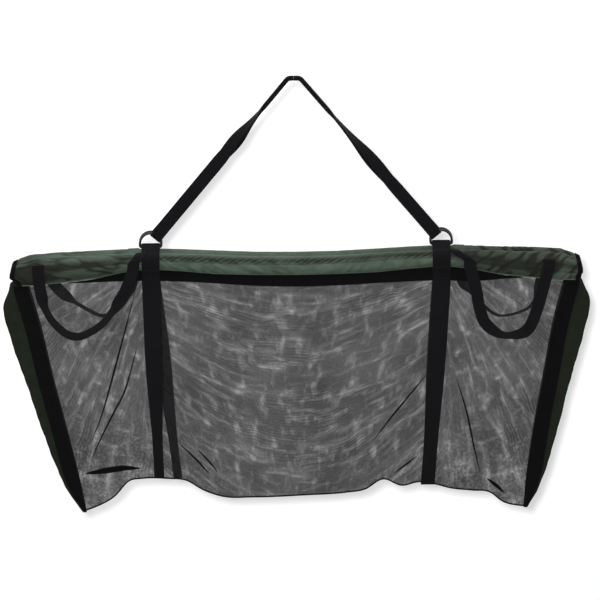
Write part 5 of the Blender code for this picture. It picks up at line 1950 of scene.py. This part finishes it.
@dataclass
class Studio:
    """White backdrop, even light and the photograph's camera."""

    target: Point = (7.2, 0.0, -469.2)
    elevation: float = 12.0
    roll: float = 0.67
    distance: float = 12000.0
    width: float = 1263.0
    sensor: float = 36.0
    wall_y: float = 700.0
    wall_reach: tuple[float, float, float] = (6000.0, -6000.0, 5000.0)
    wall_glow: float = 0.27
    surround: float = 0.36
    # Places of the lamps, the first from the camera, and the bag's middle, in metres
    key_offset: Point = (-0.2, 0, 0.21)
    top_place: Point = (-0.6, -1.0, 1.6)
    middle: Point = (0, 0, -0.45)

    @property
    def aim(self) -> Vector:
        """Place that the camera looks at, in metres."""
        return Vector(self.target) * MM

    @property
    def eye(self) -> Vector:
        """Place of the camera, in metres."""
        up = math.radians(self.elevation)
        return self.aim + Vector((0, -math.cos(up), math.sin(up))) * self.distance * MM

    def build(self) -> None:
        """Make backdrop, lamps and camera."""
        self.build_wall()
        self.build_surround()
        # A soft key lamp just above and left of the camera, which throws the shadow, and one from above
        beside, above, middle = (Vector(spot) for spot in (self.key_offset, self.top_place, self.middle))
        self.build_lamp("key_softbox", "DISK", watts=670.0, size=0.34, place=self.eye + beside, aim=self.aim)
        self.build_lamp("top_softbox", "SQUARE", watts=24.0, size=1.6, place=above, aim=middle)
        self.build_camera()

    def build_wall(self) -> None:
        """Make the backdrop, which shows from its front only and stays white but for soft shadows."""
        side, low, high = self.wall_reach
        mesh = bpy.data.meshes.new("backdrop")
        corners = [Vector((x, self.wall_y, z)) * MM for z in (low, high) for x in (-side, side)]
        mesh.from_pydata(corners, [], [(0, 1, 3, 2)])
        wall = bpy.data.objects.new("backdrop", mesh)
        bpy.context.scene.collection.objects.link(wall)
        paper = bpy.data.materials.new("white_paper_backdrop")
        paper.use_nodes = True
        tree = paper.node_tree
        tree.nodes.remove(tree.nodes["Principled BSDF"])
        shadow = add_node(tree, "BsdfDiffuse", {"Color": (0.95, 0.95, 0.95, 1)})
        light = add_node(tree, "LightPath")
        kinds = ("Camera", "Glossy", "Transmission")
        camera, glossy, through = (light.outputs[f"Is {kind} Ray"] for kind in kinds)
        seen = add_node(tree, "Math", {"operation": "MAXIMUM"}, {0: camera, 1: glossy})
        seen = add_node(tree, "Math", {"operation": "MAXIMUM"}, {0: seen, 1: through})
        strength = add_node(tree, "Math", {"operation": "MULTIPLY", 1: self.wall_glow}, {0: seen})
        glow = add_node(tree, "Emission", {"Color": (1, 1, 1, 1)}, {"Strength": strength})
        both = add_node(tree, "AddShader", None, {0: shadow, 1: glow})
        clear = add_node(tree, "BsdfTransparent")
        behind = add_node(tree, "NewGeometry").outputs["Backfacing"]
        sided = add_node(tree, "MixShader", None, {0: behind, 1: both, 2: clear})
        tree.links.new(sided.outputs[0], tree.nodes["Material Output"].inputs["Surface"])
        mesh.materials.append(paper)

    def build_surround(self) -> None:
        """Make the even light from all sides, which the camera sees as white."""
        world = bpy.data.worlds.new("studio_light")
        bpy.context.scene.world = world
        world.use_nodes = True
        tree, background = world.node_tree, world.node_tree.nodes["Background"]
        camera = add_node(tree, "LightPath").outputs["Is Camera Ray"]
        levels = {"operation": "MULTIPLY_ADD", 1: 1 - self.surround, 2: self.surround}
        strength = add_node(tree, "Math", levels, {0: camera})
        background.inputs["Color"].default_value = (1, 1, 1, 1)
        tree.links.new(strength.outputs[0], background.inputs["Strength"])

    def build_lamp(
        self, name: str, shape: str, watts: float, size: float, place: Vector, aim: Vector
    ) -> None:
        """Make an area lamp.

        Args:
            name: Name of the lamp.
            shape: Shape of its face.
            watts: Its power.
            size: Its width in metres.
            place: Where it stands, in metres.
            aim: What it faces, in metres.
        """
        light = bpy.data.lights.new(name, "AREA")
        light.shape = shape
        light.energy = watts
        light.size = size
        lamp = bpy.data.objects.new(name, light)
        lamp.location = place
        lamp.rotation_euler = (place - aim).to_track_quat("Z", "Y").to_euler()
        bpy.context.scene.collection.objects.link(lamp)

    def build_camera(self) -> None:
        """Make the camera."""
        lens = bpy.data.cameras.new("photo_camera")
        lens.sensor_width = self.sensor
        lens.lens = self.sensor * self.distance / self.width
        lens.clip_end = 100.0
        camera = bpy.data.objects.new("photo_camera", lens)
        facing = (self.eye - self.aim).to_track_quat("Z", "Y").to_matrix().to_4x4()
        rolled = Matrix.Rotation(math.radians(-self.roll), 4, "Z")
        camera.matrix_world = Matrix.Translation(self.eye) @ facing @ rolled
        bpy.context.scene.collection.objects.link(camera)
        bpy.context.scene.camera = camera
        bpy.context.scene.view_settings.view_transform = "Standard"


# Where each girth strap ends, as a share of its distance from the middle, and its folded width there
FEET = {
    (Half.FRONT, Side.LEFT): (0.967, 0.56),
    (Half.FRONT, Side.RIGHT): (0.895, 0.78),
    (Half.REAR, Side.LEFT): (0.839, 0.5),
    (Half.REAR, Side.RIGHT): (0.895, 0.7),
}
HANDLES = {
    (Half.FRONT, Side.LEFT): HandleForm(
        (
            (0.8, 0.0), (0.789, 0.25), (0.759, 0.515), (0.718, 0.69), (0.655, 0.835), (0.588, 0.93),
            (0.515, 0.95), (0.435, 0.888), (0.35, 0.775), (0.29, 0.635), (0.235, 0.48), (0.175, 0.28),
            (0.122, 0.0),
        ),
        lowest_turn=28.0, edge_on_to=0.6, facing_from=0.85, inner_top=14.0, lean=17.0,
    ),
    (Half.FRONT, Side.RIGHT): HandleForm(
        (
            (0.7627, 0.0), (0.6814, 0.6), (0.6102, 0.92), (0.5085, 1.0), (0.4068, 0.98), (0.3085, 0.827),
            (0.266, 0.6), (0.245, 0.36), (0.22, 0.15), (0.2, 0.0),
        ),
        lowest_turn=22.0, edge_on_to=0.0, facing_from=0.413, inner_top=14.0, lean=34.0,
    ),
    (Half.REAR, Side.LEFT): HandleForm(
        (
            (0.7559, 0.0), (0.749, 0.12), (0.718, 0.27), (0.665, 0.405), (0.6, 0.52), (0.535, 0.61),
            (0.405, 0.757), (0.35, 0.785), (0.295, 0.757), (0.24, 0.68), (0.19, 0.555), (0.15, 0.36),
            (0.1254, 0.0),
        ),
        lowest_turn=28.0, edge_on_to=0.42, facing_from=0.68, inner_top=28.0,
    ),
    (Half.REAR, Side.RIGHT): HandleForm(
        (
            (0.7424, 0.0), (0.728, 0.25), (0.7, 0.5), (0.645, 0.71), (0.578, 0.79), (0.515, 0.83),
            (0.455, 0.85), (0.4, 0.84), (0.3356, 0.755), (0.265, 0.62), (0.2, 0.475), (0.155, 0.32),
            (0.1254, 0.0),
        ),
        lowest_turn=22.0, edge_on_to=0.55, facing_from=0.78, inner_top=28.0,
    ),
}  # fmt: skip


def main() -> None:
    """Dress the sling and light it."""
    logging.basicConfig(level=logging.INFO, format="%(name)s: %(message)s")
    Studio().build()
    RetainerSling(FEET, HANDLES).build()
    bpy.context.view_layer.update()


if __name__ == "__main__":
    main()
